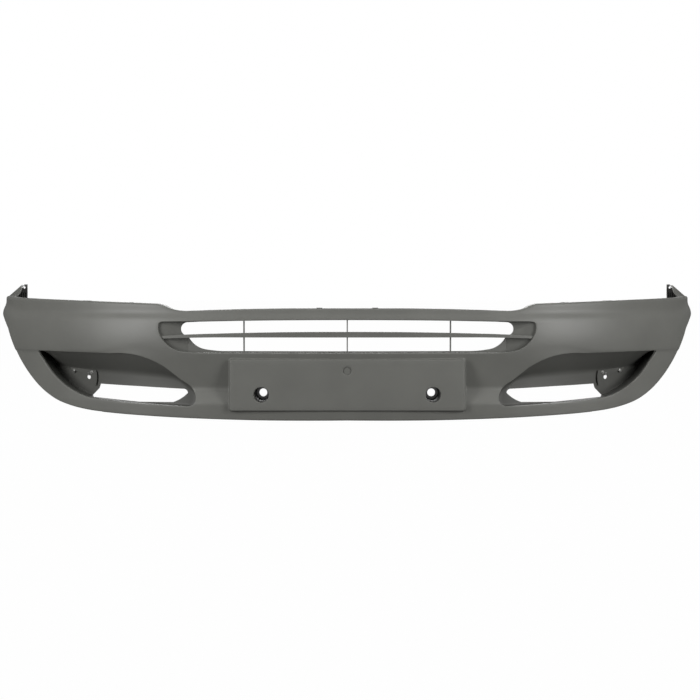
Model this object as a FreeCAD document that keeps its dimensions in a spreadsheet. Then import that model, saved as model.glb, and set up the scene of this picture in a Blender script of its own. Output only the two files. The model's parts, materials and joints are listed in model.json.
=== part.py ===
import FreeCAD, Part
import math
import os

import Sketcher
from FreeCAD import Placement, Rotation, Vector

# Front bumper cover of a large van, made of the separate pieces that it comes apart into.
# Frame: +X across the vehicle, +Y towards the rear of the vehicle, +Z up, in millimetres.
# The origin is midway between the two crossmember bolt seats: Z is the height of the bolt
# axes and Y is the rear face of the bolt wells, which bears on the crossmember.
# "left" is -X and "right" is +X, as seen by someone who stands in front of the bumper.
# "Offset" is a distance outward from the plan curve, "angle" is where its outward normal points.

DIMENSIONS = [
    ("front_depth", 91, "front face ahead of the bolt seats, on the centre line"),
    ("plan_radius_1", 6000, "plan curve, centre to wing: nearly straight front"),
    ("plan_angle_1", 3.15, "end of the first arc, degrees from straight ahead"),
    ("plan_radius_2", 900, "turn into the flank"),
    ("plan_angle_2", 12, "end of the second arc"),
    ("plan_radius_3", 815, "long sweep of the corner"),
    ("plan_angle_3", 46, "end of the third arc"),
    ("plan_radius_4", 270, "tight part of the corner"),
    ("plan_angle_4", 78, "end of the fourth arc"),
    ("plan_radius_5", 1400, "wing along the side of the vehicle"),
    ("plan_angle_5", 82.5, "rear end of the wing"),
    ("wall", 3, "thickness of the moulded skin and shells"),
    ("blank_top", 320, "top of the untrimmed skin"),
    ("blank_bottom", -80, "bottom of the untrimmed skin"),
    ("band_setback", 8, "upper band behind the bulge"),
    ("band_bottom", 204, "lower limit of the upper band"),
    ("bulge_top", 189, "upper limit of the bulge"),
    ("bulge_crown", 4, "how far the bulge swells between its limits"),
    ("crease_height", 101, "crease under the bulge"),
    ("crease_step", 3, "step back under the crease on the wings"),
    ("scoop_depth", 25, "how far the centre scoop leans back"),
    ("scoop_bottom", 13, "lower limit of the centre scoop"),
    ("ledge_bottom", -22, "front edge of the ledge under the scoop"),
    ("lip_lean", 5, "how far the lip leans back towards its lower edge"),
    ("scoop_half_width", 530, "half width of the scooped centre section"),
    ("flange_depth", 25, "width of the return flange along the top edge"),
    ("hem_depth", 14, "width of the return flange along the lower edge"),
    ("tip_shoulder_start", 79, "angle where the raised wing shoulder starts"),
    ("tip_shoulder_rise", 36, "rise of the wing shoulder"),
    ("tip_shoulder_run", 40, "how far the wing shoulder leans inboard"),
    ("plinth_width", 584, "number plate plinth, across"),
    ("plinth_top", 88, "upper edge of the plinth"),
    ("plinth_bottom", -40, "lower edge of the plinth"),
    ("plinth_proud", 2, "plinth face ahead of the skin on the centre line"),
    ("plinth_draft", 4, "how far the plinth sides spread towards the skin"),
    ("bolt_spacing", 428, "between the two crossmember bolts"),
    ("well_radius", 19, "inside of a bolt well"),
    ("well_wall", 3, "wall of a bolt well"),
    ("well_floor", 5, "floor of a bolt well"),
    ("bolt_hole_radius", 10, "clearance hole through the steel sleeve"),
    ("sleeve_radius", 13, "outside of the steel sleeve"),
    ("sleeve_flange_radius", 17, "flange of the steel sleeve"),
    ("sleeve_flange", 2, "thickness of the sleeve flange"),
    ("plug_height", 59.7, "centre of the plug above the bolts"),
    ("plug_radius", 10, "rim of the centre plug"),
    ("plug_shank_radius", 6, "shank of the centre plug"),
    ("plug_recess", 2, "how deep the plug rim is sunk"),
    ("plug_rim", 1.5, "thickness of the plug rim"),
    ("plug_tip_start", 7, "start of the plug's conical tip, behind the front of its rim"),
    ("plug_length", 9.5, "whole length of the plug"),
    ("plug_tip_taper", 2, "how far the tip narrows"),
    ("grille_depth", 27, "depth of the grille frame behind the skin"),
    ("blade_depth", 12, "depth of the grille blade"),
    ("upright_thickness", 3, "thickness of a grille upright"),
    ("upright_depth", 14, "depth of a grille upright, behind the blade"),
    ("upright_gap", 0.5, "grille upright behind the blade"),
    ("upright_spacing", 258, "centre upright to side upright"),
    ("screw_shank_radius", 2, "tapping screw, shank"),
    ("screw_head_radius", 5, "tapping screw, washer head"),
    ("screw_head", 3, "tapping screw, head height"),
    ("short_screw", 5, "tapping screw of the grille and lamp pockets, under the head"),
    ("long_screw", 9, "tapping screw of the plinth, under the head"),
    ("bracket_thickness", 2, "lamp bracket plate"),
    ("bracket_slot_length", 15, "lamp bracket slot, across"),
    ("bracket_slot_width", 10, "lamp bracket slot, up"),
    ("nut_clip_thickness", 1, "spring steel of the lamp nut clip"),
    ("nut_clip_width", 4.9, "lamp nut clip, across"),
    ("wing_bracket_width", 30, "wing bracket plate, across"),
    ("wing_bracket_height", 32, "wing bracket plate, up, on its inboard half"),
    ("wing_bracket_low", 11, "wing bracket plate, up, at its outboard edge"),
    ("wing_bracket_shoulder", 21, "how far inboard the plate reaches its full height"),
    ("wing_bracket_step", 6, "step in the plate's upper edge at that place"),
    ("wing_bracket_foot", 11, "how far the foot reaches outboard over the flange"),
    ("wing_bracket_depth", 22, "length of the foot behind the plate"),
    ("wing_bracket_wall", 2.5, "thickness of the plate and the foot"),
    ("wing_bracket_rib", 2, "thickness of a rib"),
    ("wing_bracket_rib_depth", 6, "depth of a rib ahead of the plate"),
    ("wing_bracket_ribs", 6, "ribs on the front of the plate"),
    ("wing_hole_inboard", 21.6, "fixing hole inboard of the wing bracket's outboard edge"),
    ("wing_hole_height", 23, "fixing hole above the foot of the wing bracket"),
    ("wing_hole_radius", 3, "fixing hole of the wing bracket"),
    ("rivet_radius", 2, "shank of a wing rivet"),
    ("rivet_head", 1.5, "height of a rivet head"),
    ("rivet_head_radius", 4, "rivet head, at its foot"),
    ("rivet_dome_radius", 2.5, "rivet head, at its top"),
    ("rivet_grip", 5.7, "between the head and the tail of a rivet"),
    ("rivet_tail", 2, "height of a rivet tail"),
    ("rivet_tail_radius", 3, "rivet tail, at its foot"),
    ("rivet_tail_end_radius", 2.4, "rivet tail, at its end"),
    ("clip_width", 14, "top flange clip, across"),
    ("clip_length", 18, "top flange clip, along the vehicle"),
    ("clip_steel", 1, "spring steel of the top flange clip"),
    ("clip_gap", 0.05, "between a clip and the faces of the flange"),
    ("clip_end_gap", 0.2, "between a clip and the edge of the flange"),
    ("clip_hole_radius", 3.5, "hole in the top flange under each clip"),
    ("clip_thread_radius", 2.6, "threaded hole through the clip"),
    ("clip_hole_setback", 9, "hole ahead of the rear edge of the flange"),
]

doc = FreeCAD.newDocument("bumper_cover")
sheet = doc.addObject("Spreadsheet::Sheet", "sizes")
for row, (alias, value, meaning) in enumerate(DIMENSIONS, start=1):
    sheet.set("A%d" % row, alias)
    sheet.set("B%d" % row, str(value))
    sheet.setAlias("B%d" % row, alias)
    sheet.set("C%d" % row, meaning)
doc.recompute()


def size(alias):
    """A driving dimension, read from the sheet."""
    return float(sheet.get(alias))


# ---------------------------------------------------------------- plan curve


def plan_segments():
    """Arcs of the plan curve from the left tip to the right tip.

    Each is (centre x, centre y, radius, start angle, end angle). An angle is in degrees and
    says where the outward normal points: 0 straight ahead, positive towards the right.
    """
    right = []
    x, y, start = 0.0, -size("front_depth"), 0.0
    for number in range(1, 6):
        radius = size("plan_radius_%d" % number)
        end = size("plan_angle_%d" % number)
        centre_x = x - radius * math.sin(math.radians(start))
        centre_y = y + radius * math.cos(math.radians(start))
        right.append((centre_x, centre_y, radius, start, end))
        x = centre_x + radius * math.sin(math.radians(end))
        y = centre_y - radius * math.cos(math.radians(end))
        start = end
    left = [(-cx, cy, radius, -end, -start) for cx, cy, radius, start, end in reversed(right)]
    return left + right


SEGMENTS = plan_segments()
TIP_ANGLE = SEGMENTS[-1][4]


def segment_at(angle):
    """The arc of the plan curve that holds an angle."""
    for segment in SEGMENTS:
        if segment[3] <= angle <= segment[4]:
            return segment
    raise ValueError("angle %.2f is off the plan curve" % angle)


def outward(angle):
    """Outward normal of the plan curve."""
    return Vector(math.sin(math.radians(angle)), -math.cos(math.radians(angle)), 0)


def segment_point(segment, angle, offset=0.0, height=0.0):
    """A point beside one arc of the plan curve."""
    return Vector(segment[0], segment[1], height) + outward(angle) * (segment[2] + offset)


def plan_point(angle, offset=0.0, height=0.0):
    """A point beside the plan curve."""
    return segment_point(segment_at(angle), angle, offset, height)


def angle_at(x):
    """Angle of the plan curve at a distance across the vehicle."""
    for centre_x, _, radius, start, end in SEGMENTS:
        low = centre_x + radius * math.sin(math.radians(start))
        high = centre_x + radius * math.sin(math.radians(end))
        if low <= x <= high:
            return math.degrees(math.asin((x - centre_x) / radius))
    raise ValueError("x %.1f is off the plan curve" % x)


def depth_at(x):
    """Y of the plan curve at a distance across the vehicle."""
    return plan_point(angle_at(x)).y


def plan_path(start, end):
    """Wire of the plan curve between two angles."""
    edges = []
    for segment in SEGMENTS:
        low, high = max(segment[3], start), min(segment[4], end)
        if high - low > 1e-6:
            points = [segment_point(segment, angle) for angle in (low, (low + high) / 2, high)]
            edges.append(Part.Arc(*points).toShape())
    return Part.Wire(edges)


# ---------------------------------------------------------------- outlines and sweeps

JOIN_TOLERANCE = 0.01


def outline_edges(points, to_space):
    """Edges through (across, up, bow) points; a bow is the sagitta of the stretch that follows.

    A positive bow swells to the left of the direction of travel. to_space maps (across, up)
    to a point in space.
    """
    edges = []
    for point, following in zip(points, points[1:]):
        run, rise = following[0] - point[0], following[1] - point[1]
        bow = point[2] if len(point) > 2 else 0
        ends = [to_space(point[0], point[1]), to_space(following[0], following[1])]
        if bow:
            length = math.hypot(run, rise)
            middle = to_space(
                (point[0] + following[0]) / 2 - rise / length * bow,
                (point[1] + following[1]) / 2 + run / length * bow,
            )
            edges.append(Part.Arc(ends[0], middle, ends[1]).toShape())
        else:
            edges.append(Part.LineSegment(*ends).toShape())
    return edges


def outline_face(points, to_space):
    """Face inside a closed outline of (across, up, bow) points."""
    return Part.Face(Part.Wire(outline_edges(points + [points[0]], to_space)))


def both_sides(half):
    """Closed outline from its right half, listed from the top centre line to the bottom one."""
    bows = [point[2] if len(point) > 2 else 0 for point in half]
    mirrored = [(-point[0], point[1], bow) for point, bow in zip(reversed(half), reversed([0] + bows[:-1]))]
    inner = [point for point in mirrored if point[0] < -1e-9]
    return half + inner


def front_prism(points, near, far):
    """Solid with an outline seen from the front, from Y = near to Y = far."""
    face = outline_face(points, lambda across, up: Vector(across, near, up))
    return face.extrude(Vector(0, far - near, 0))


def side_prism(points, half_width):
    """Solid with an outline seen from the side, across the whole vehicle."""
    face = outline_face(points, lambda along, up: Vector(-half_width, along, up))
    return face.extrude(Vector(2 * half_width, 0, 0))


def sweep(profile, start, end):
    """Solid swept along the plan curve; the profile is a closed outline of (offset, height, bow)."""
    face = outline_face(profile, lambda offset, up: plan_point(start, offset, up))
    return plan_path(start, end).makePipe(face)


def band(inner, outer, low, high, start=-TIP_ANGLE, end=TIP_ANGLE):
    """Rectangular band that follows the plan curve."""
    return sweep([(inner, low), (outer, low), (outer, high), (inner, high)], start, end)


def inner_line(outer_line, thickness):
    """The outer line moved inward by a thickness, square to each stretch."""
    moved = []
    for index, point in enumerate(outer_line):
        normals = []
        for first in (index - 1, index):
            if 0 <= first < len(outer_line) - 1:
                run = outer_line[first + 1][0] - outer_line[first][0]
                rise = outer_line[first + 1][1] - outer_line[first][1]
                length = math.hypot(run, rise)
                normals.append((rise / length, -run / length))
        mean_x = sum(n[0] for n in normals) / len(normals)
        mean_z = sum(n[1] for n in normals) / len(normals)
        scale = thickness / (mean_x**2 + mean_z**2)
        bow = point[2] if len(point) > 2 else 0
        moved.append((point[0] + mean_x * scale, point[1] + mean_z * scale, bow))
    return moved


def closed_between(outer_line, other_line):
    """Closed outline between two lines that run the same way."""
    back = list(reversed(other_line))
    bows = [-(point[2] if len(point) > 2 else 0) for point in back[1:]] + [0]
    last = outer_line[-1]
    first_part = outer_line[:-1] + [(last[0], last[1], 0)]
    return first_part + [(point[0], point[1], bow) for point, bow in zip(back, bows)]


def shared(shape, tool):
    """What two shapes have in common, with edges closer than the tolerance taken as one."""
    return shape.common([tool], JOIN_TOLERANCE)


def mirrored_x(shape):
    """The shape on the other side of the vehicle."""
    return shape.mirror(Vector(0, 0, 0), Vector(1, 0, 0))


def one_solid(shape):
    """The single solid of a boolean result, with its split faces joined."""
    cleaned = shape.removeSplitter()
    if len(cleaned.Solids) != 1:
        volumes = [round(solid.Volume, 1) for solid in cleaned.Solids]
        raise RuntimeError("expected one solid, got volumes %s" % volumes)
    return cleaned.Solids[0]


# ---------------------------------------------------------------- section of the skin

BLEND_BOW = 1.2
UPPER_LINE = [
    (-size("band_setback"), size("blank_top")),
    (-size("band_setback"), size("band_bottom"), -BLEND_BOW),
    (-size("band_setback") / 2, (size("band_bottom") + size("bulge_top")) / 2, BLEND_BOW),
    (0, size("bulge_top"), size("bulge_crown")),
    (0, size("crease_height") + 2),
]
LOWER_LINE = [
    (-size("crease_step"), size("ledge_bottom")),
    (-size("crease_step") - size("lip_lean"), size("blank_bottom")),
]
WING_LINE = UPPER_LINE + [(-size("crease_step"), size("crease_height") - 2)] + LOWER_LINE
CENTRE_LINE = UPPER_LINE + [(-size("scoop_depth"), size("scoop_bottom"))] + LOWER_LINE


def along_skin(make_profile):
    """Sweep of a profile that is made from the skin's section, over both wings and the centre."""
    edge = angle_at(size("scoop_half_width"))
    wing_profile = make_profile(WING_LINE)
    left = sweep(wing_profile, -TIP_ANGLE, -edge)
    centre = sweep(make_profile(CENTRE_LINE), -edge, edge)
    right = sweep(wing_profile, edge, TIP_ANGLE)
    return left.fuse([centre, right])


def layer(near, far):
    """Profile maker for the layer between two depths under the outer face of the skin."""
    return lambda line: closed_between(inner_line(line, near), inner_line(line, far))


def ahead_of(depth):
    """Profile maker for everything ahead of a depth under the outer face of the skin."""

    def make_profile(line):
        back = inner_line(line, depth)
        return closed_between(back, [(FAR / 3, point[1]) for point in back])

    return make_profile


def on_skin(line, x, z, depth):
    """Placement under the outer face of the skin, its +Y axis pointing out square to the face."""
    for point, following in zip(line, line[1:]):
        if following[1] <= z <= point[1]:
            run, rise = following[0] - point[0], following[1] - point[1]
            length = math.hypot(run, rise)
            share = (z - point[1]) / rise
            bow = point[2] if len(point) > 2 else 0
            offset = point[0] + run * share + 4 * bow * share * (1 - share)
            angle = angle_at(x)
            normal = outward(angle) * (-rise / length) + Vector(0, 0, run / length)
            return along_axis(plan_point(angle, offset, z) - normal * depth, normal)
    raise ValueError("height %.1f is off the skin" % z)


# ---------------------------------------------------------------- trimming lines of the skin

# The cutting tools reach well past the part on every side.
FAR = 420
AHEAD = -200
BEHIND = 180
HALF_SPAN = 1000
EDGE_JOIN_X = 747
LOW_JOIN_X = 640
TOP_EDGE = [
    (0, 215.5),
    (140, 215.5, 0.9),
    (400, 210.1, -2),
    (452, 217.6, 2.6),
    (490, 226.9),
    (EDGE_JOIN_X, 235.4),
]
TOP_EDGE_WING = [(62, 235.4), (284, 244.5), (420, 246)]
BOTTOM_EDGE = [(0, -65.1, -0.6), (220, -65.1, -1), (530, -55.2, -0.5), (LOW_JOIN_X, -49)]
BOTTOM_EDGE_WING = [
    (-7, -49.6, -3.2),
    (59, -27.6, -2.4),
    (116, 20, -1.8),
    (175, 93, 3.5),
    (205, 157, 5.5),
    (284, 195),
    (420, 228),
]

# ---------------------------------------------------------------- openings, seen from the front
# The grille outlines are right halves, the lamp outlines belong to the right-hand lamp.

GRILLE_OPENING = [
    (0, 186.6, 1.1),
    (404, 182.2),
    (470, 181.2, 1),
    (473, 178),
    (472.7, 158, 9),
    (421, 107.8, 1),
    (364, 103.7),
    (0, 103.7),
]
GRILLE_APERTURE = [
    (0, 185.7, 1.2),
    (371, 181),
    (402, 179.5, 10),
    (412, 150.7),
    (397, 140.5, 6.5),
    (352, 111.5, 1.2),
    (300, 107.6),
    (0, 107.2),
]
LAMP_OPENING = [
    (816, 102),
    (600, 99.6, -12.5),
    (458, 66.6),
    (414, 31.5, -6.4),
    (379, -7.5, -5.8),
    (394, -31),
    (559, -23.5, -0.6),
    (670, -12.3, -8.4),
    (777, 53),
]
LAMP_APERTURE = [
    (641, 17.6),
    (645, 6),
    (665, -13, 1),
    (661, -17.4),
    (530, -24.4),
    (441, -22.8, 2.8),
    (402, 1.5, 2),
    (410, 11.2),
    (530, 15.4),
]


def grown_prism(points, margin, near, far):
    """Prism of an outline that is grown by a margin all round."""
    wire = Part.Wire(outline_edges(points + [points[0]], lambda across, up: Vector(across, near, up)))
    return Part.Face(wire.makeOffset2D(margin)).extrude(Vector(0, far - near, 0))


# ---------------------------------------------------------------- tools for the document

sub_parts = []


def add_feature(name, shape):
    """A sub-part whose shape is worked out here from the sheet."""
    feature = doc.addObject("Part::Feature", name)
    feature.Label = name
    feature.Shape = shape
    feature.Placement = Placement()
    sub_parts.append(feature)
    return feature


def attach(sketch, body, role):
    """Lay a sketch on one of its body's own origin planes."""
    plane = next(item for item in body.Origin.OriginFeatures if item.Role == role)
    sketch.AttachmentSupport = [(plane, "")]
    sketch.MapMode = "FlatFace"


def corner_sketch(body, name, role, corners):
    """Closed outline of straight sides whose corners are pairs of sheet expressions."""
    sketch = body.newObject("Sketcher::SketchObject", name)
    attach(sketch, body, role)
    points = [Vector(*[float(body.evalExpression(text)) for text in pair], 0) for pair in corners]
    count = len(points)
    for index in range(count):
        following = (index + 1) % count
        sketch.addGeometry(Part.LineSegment(points[index], points[following]), False)
    for index in range(count):
        following = (index + 1) % count
        sketch.addConstraint(Sketcher.Constraint("Coincident", index, 2, following, 1))
    for index, (across, up) in enumerate(corners):
        for kind, text, value, axis in (
            ("DistanceX", across, points[index].x, -2),
            ("DistanceY", up, points[index].y, -1),
        ):
            if abs(value) < 1e-9:
                sketch.addConstraint(Sketcher.Constraint("PointOnObject", index, 1, axis))
            else:
                number = sketch.addConstraint(Sketcher.Constraint(kind, -1, 1, index, 1, value))
                sketch.setExpression("Constraints[%d]" % number, text)
    return sketch


def drill(body, name, role, across, up, radius):
    """Round hole right through a body, square to one of its origin planes."""
    doc.recompute()
    solid_before = body.Shape.Volume
    sketch = body.newObject("Sketcher::SketchObject", name + "_circle")
    attach(sketch, body, role)
    centre = Vector(float(body.evalExpression(across)), float(body.evalExpression(up)), 0)
    sketch.addGeometry(Part.Circle(centre, Vector(0, 0, 1), float(body.evalExpression(radius))), False)
    for kind, text, value in (("DistanceX", across, centre.x), ("DistanceY", up, centre.y)):
        number = sketch.addConstraint(Sketcher.Constraint(kind, -1, 1, 0, 3, value))
        sketch.setExpression("Constraints[%d]" % number, text)
    number = sketch.addConstraint(Sketcher.Constraint("Radius", 0, float(body.evalExpression(radius))))
    sketch.setExpression("Constraints[%d]" % number, radius)
    pocket = body.newObject("PartDesign::Pocket", name)
    pocket.Profile = sketch
    pocket.Type = "ThroughAll"
    pocket.SideType = "Symmetric"
    body.Tip = pocket
    doc.recompute()
    if not body.Shape.Volume < solid_before - 1:
        raise RuntimeError("%s cuts nothing" % name)


def new_body(name, keep=True):
    """A PartDesign body; it is a sub-part unless it is only a pattern for others."""
    body = doc.addObject("PartDesign::Body", name)
    body.Label = name
    if keep:
        sub_parts.append(body)
    return body


def turned_body(name, corners, placement, keep=True):
    """Body of revolution about its own Y axis; corners are (radius, along Y) expressions."""
    body = new_body(name, keep)
    sketch = corner_sketch(body, name + "_section", "XY_Plane", corners)
    turn = body.newObject("PartDesign::Revolution", name + "_turn")
    turn.Profile = sketch
    turn.ReferenceAxis = (sketch, ["V_Axis"])
    turn.Angle = 360
    body.Placement = placement
    return body


def add_group(name, pattern, placements):
    """Identical pieces in one sub-part: links to one body, each at its own place."""
    links = []
    for number, placement in enumerate(placements, start=1):
        link = doc.addObject("App::Link", "%s_%d" % (name, number))
        link.LinkedObject = pattern
        link.LinkTransform = False
        link.Placement = placement
        links.append(link)
    group = doc.addObject("Part::Compound", name)
    group.Label = name
    group.Links = links
    sub_parts.append(group)
    return group


def along_axis(base, direction):
    """Placement that puts a turned body's +Y axis along a direction."""
    return Placement(base, Rotation(Vector(0, 1, 0), direction))


def without_shanks(shape, places, length):
    """The shape with the holes that the screw shanks fill."""
    for place in places:
        axis = place.Rotation.multVec(Vector(0, 1, 0))
        start = place.Base - axis
        shape = shape.cut(Part.makeCylinder(size("screw_shank_radius"), length + 1, start, axis))
    return shape


# ---------------------------------------------------------------- where the fasteners go

WELL_X = size("bolt_spacing") / 2
PLINTH_HALF = size("plinth_width") / 2
PLINTH_FACE_Y = -size("front_depth") - size("plinth_proud")
BOTH_WALLS = 2 * size("wall")
RIGHT_POCKET_SCREWS = [(560, 108), (700, 109), (500, -36.6), (620, -31), (733, 2)]
GRILLE_SCREWS = [(482, 170), (477, 141), (460.5, 118.5)]
PLINTH_SCREWS = [(262, 60), (262, -4), (110, 28)]


def mirrored_places(places):
    """The same places on the left side."""
    return [(-x, z) for x, z in places]


def screw_places(places, line, depth):
    """Placements of the screws at (across, up) places."""
    return [on_skin(line, x, z, depth) for x, z in places]


grille_screw_places = screw_places(GRILLE_SCREWS + mirrored_places(GRILLE_SCREWS), WING_LINE, BOTH_WALLS)
right_pocket_screw_places = screw_places(RIGHT_POCKET_SCREWS, WING_LINE, BOTH_WALLS)
left_pocket_screw_places = screw_places(mirrored_places(RIGHT_POCKET_SCREWS), WING_LINE, BOTH_WALLS)
plinth_screw_places = screw_places(PLINTH_SCREWS + mirrored_places(PLINTH_SCREWS), CENTRE_LINE, size("wall"))


CLIP_X = [70, 560, 680]
CLIP_TOOL = 16


def top_edge_at(x):
    """Height and slope of the straight stretches of the top edge."""
    for point, following in zip(TOP_EDGE, TOP_EDGE[1:]):
        if point[0] <= x <= following[0]:
            slope = (following[1] - point[1]) / (following[0] - point[0])
            return point[1] + slope * (x - point[0]), slope
    raise ValueError("x %.1f is outside the front of the top edge" % x)


def clip_places():
    """Placements of the clips over the rear edge of the top flange."""
    places = []
    for side in (-1, 1):
        for x in CLIP_X:
            angle = angle_at(side * x)
            edge = plan_point(angle, -size("band_setback") - size("flange_depth"))
            edge.z, slope = top_edge_at(abs(edge.x))
            rotation = Rotation(Vector(), -outward(angle), Vector(-side * slope, 0, 1), "ZYX")
            half_width = rotation.multVec(Vector(size("clip_width") / 2, 0, 0))
            places.append(Placement(edge - half_width, rotation))
    return places


def clip_hole_cutters():
    """Vertical cutters for the holes in the top flange under the clips."""
    cutters = []
    for place in clip_places():
        middle = Vector(size("clip_width") / 2, -size("clip_hole_setback"), 0)
        foot = place.multVec(middle) - Vector(0, 0, CLIP_TOOL / 2)
        cutters.append(Part.makeCylinder(size("clip_hole_radius"), CLIP_TOOL, foot))
    return cutters


# ---------------------------------------------------------------- bumper skin


def cut_away():
    """Everything above the top edge and everything below the lower edge of the skin."""
    top_front = both_sides(TOP_EDGE + [(EDGE_JOIN_X, FAR), (0, FAR)])
    above = front_prism(top_front, AHEAD, TOP_EDGE_WING[0][0] + 2)
    above = above.fuse(side_prism(TOP_EDGE_WING + [(FAR, FAR), (TOP_EDGE_WING[0][0], FAR)], HALF_SPAN))
    low_front = both_sides([(0, -FAR), (LOW_JOIN_X, -FAR)] + list(reversed_outline(BOTTOM_EDGE)))
    below = front_prism(low_front, AHEAD, 0)
    low_side = BOTTOM_EDGE_WING + [(FAR, -FAR), (BOTTOM_EDGE_WING[0][0], -FAR)]
    below = below.fuse(side_prism(low_side, HALF_SPAN))
    return above, below


def reversed_outline(points):
    """The same open outline, listed from its other end."""
    bows = [point[2] if len(point) > 2 else 0 for point in points]
    turned = [-bow for bow in reversed(bows[:-1])] + [0]
    return [(point[0], point[1], bow) for point, bow in zip(reversed(points), turned)]


FLANGE_LOW = 195
HEM_HIGH = 235
OVERLAP = 0.5
SHOULDER_SINK = 2
WELL_CLEARANCE = 1
RIVET_TOOL = 20


def skin_shape():
    """The moulded skin: swept section, trimmed edges, return flanges and openings."""
    above, below = cut_away()
    wall, setback = size("wall"), size("band_setback")
    skin = along_skin(layer(0, wall)).cut(above).cut(below)

    flange = band(-setback - size("flange_depth"), -setback - wall / 2, FLANGE_LOW, size("blank_top"))
    flange = flange.common(above.translated(Vector(0, 0, -wall))).cut(above)
    hem = band(-2 * wall - size("hem_depth"), -setback - wall + OVERLAP, size("blank_bottom"), HEM_HIGH)
    hem = hem.common(below.translated(Vector(0, -wall / 2, wall))).cut(below)

    shoulder_foot = TOP_EDGE_WING[1][1] - SHOULDER_SINK
    shoulder_line = [
        (-setback - size("tip_shoulder_run"), shoulder_foot + size("tip_shoulder_rise")),
        (-setback, shoulder_foot),
    ]
    shoulder_section = closed_between(shoulder_line, inner_line(shoulder_line, wall))
    start = size("tip_shoulder_start")
    skin = skin.fuse(
        [
            flange,
            hem,
            sweep(shoulder_section, start, TIP_ANGLE),
            sweep(shoulder_section, -TIP_ANGLE, -start),
        ]
    )

    lamp = front_prism(LAMP_OPENING, AHEAD, BEHIND)
    skin = skin.cut([front_prism(both_sides(GRILLE_OPENING), AHEAD, 0), lamp, mirrored_x(lamp)])
    well_hole = size("well_radius") + size("well_wall") + WELL_CLEARANCE
    for side in (-1, 1):
        start_point = Vector(side * WELL_X, AHEAD, 0)
        skin = skin.cut(Part.makeCylinder(well_hole, -AHEAD, start_point, Vector(0, 1, 0)))
    for places in (grille_screw_places, right_pocket_screw_places, left_pocket_screw_places):
        skin = without_shanks(skin, places, size("short_screw"))
    skin = without_shanks(skin, plinth_screw_places, size("long_screw")).cut(clip_hole_cutters())
    for side in (-1, 1):
        for place in rivet_places(side):
            start_point = place.Base - Vector(0, 0, RIVET_TOOL / 2)
            skin = skin.cut(Part.makeCylinder(size("rivet_radius"), RIVET_TOOL, start_point))
    return one_solid(skin)


# ---------------------------------------------------------------- number plate plinth


PLINTH_BACK_Y = -50
PLINTH_TRIM_OFFSET = -60
BOSS_RADIUS = 5
BOSS_LENGTH = 45
PLUG_BOSS_WALL = 2
PLUG_BOSS_DEPTH = 6


def drafted_block(inset, face_y, back_y):
    """Block of the plinth's outline that spreads towards the back."""
    wires = []
    for y, spread in ((face_y, 0), (back_y, size("plinth_draft"))):
        half = PLINTH_HALF - inset + spread
        low, high = size("plinth_bottom") + inset, size("plinth_top") - inset
        corners = [(-half, low), (half, low), (half, high), (-half, high)]
        wires.append(Part.makePolygon([Vector(x, y, z) for x, z in corners + corners[:1]]))
    return Part.makeLoft(wires, True, True)


def plinth_shape():
    """Hollow plinth with bolt wells, screw bosses and the seat of the centre plug."""
    wall = size("wall")
    behind = along_skin(lambda line: closed_between(line, [(PLINTH_TRIM_OFFSET, point[1]) for point in line]))
    shell = drafted_block(0, PLINTH_FACE_Y, PLINTH_BACK_Y)
    shell = shell.cut(drafted_block(wall, PLINTH_FACE_Y + wall, PLINTH_BACK_Y + 1))
    outer_radius = size("well_radius") + size("well_wall")
    axis = Vector(0, 1, 0)
    bosses = [
        Part.makeCylinder(
            BOSS_RADIUS, BOSS_LENGTH, Vector(place.Base.x, PLINTH_FACE_Y + wall / 2, place.Base.z), axis
        )
        for place in plinth_screw_places
    ]
    plug_seat = Vector(0, PLINTH_FACE_Y, size("plug_height"))
    bosses.append(Part.makeCylinder(size("plug_radius") + PLUG_BOSS_WALL, PLUG_BOSS_DEPTH, plug_seat, axis))
    shell = shell.fuse(bosses).cut(behind)
    for side in (-1, 1):
        mouth = Vector(side * WELL_X, PLINTH_FACE_Y, 0)
        tube = Part.makeCylinder(outer_radius, -PLINTH_FACE_Y, mouth, axis)
        bore = Part.makeCylinder(size("well_radius"), -PLINTH_FACE_Y - size("well_floor"), mouth, axis)
        hole = Part.makeCylinder(size("sleeve_radius"), -AHEAD, mouth, axis)
        shell = shell.fuse(tube).cut([bore, hole])
    shell = shell.cut(
        [
            Part.makeCylinder(size("plug_radius"), size("plug_recess") + size("plug_rim"), plug_seat, axis),
            Part.makeCylinder(size("plug_shank_radius"), 2 * PLUG_BOSS_DEPTH, plug_seat, axis),
        ]
    )
    return one_solid(without_shanks(shell, plinth_screw_places, size("long_screw")))


add_feature("plate_plinth", plinth_shape())


# ---------------------------------------------------------------- plinth fittings

turned_body(
    "plinth_plug",
    [
        ("0", "0"),
        ("sizes.plug_radius - 0.1", "0"),
        ("sizes.plug_radius - 0.1", "sizes.plug_rim"),
        ("sizes.plug_shank_radius", "sizes.plug_rim"),
        ("sizes.plug_shank_radius", "sizes.plug_tip_start"),
        ("sizes.plug_shank_radius - sizes.plug_tip_taper", "sizes.plug_length"),
        ("0", "sizes.plug_length"),
    ],
    along_axis(Vector(0, PLINTH_FACE_Y + size("plug_recess"), size("plug_height")), Vector(0, 1, 0)),
)

for side_name, side in (("left", -1), ("right", 1)):
    turned_body(
        side_name + "_bolt_sleeve",
        [
            ("sizes.bolt_hole_radius", "-sizes.well_floor - sizes.sleeve_flange"),
            ("sizes.sleeve_flange_radius", "-sizes.well_floor - sizes.sleeve_flange"),
            ("sizes.sleeve_flange_radius", "-sizes.well_floor"),
            ("sizes.sleeve_radius", "-sizes.well_floor"),
            ("sizes.sleeve_radius", "0"),
            ("sizes.bolt_hole_radius", "0"),
        ],
        Placement(Vector(side * WELL_X, 0, 0), Rotation()),
    )


# ---------------------------------------------------------------- grille


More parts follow.
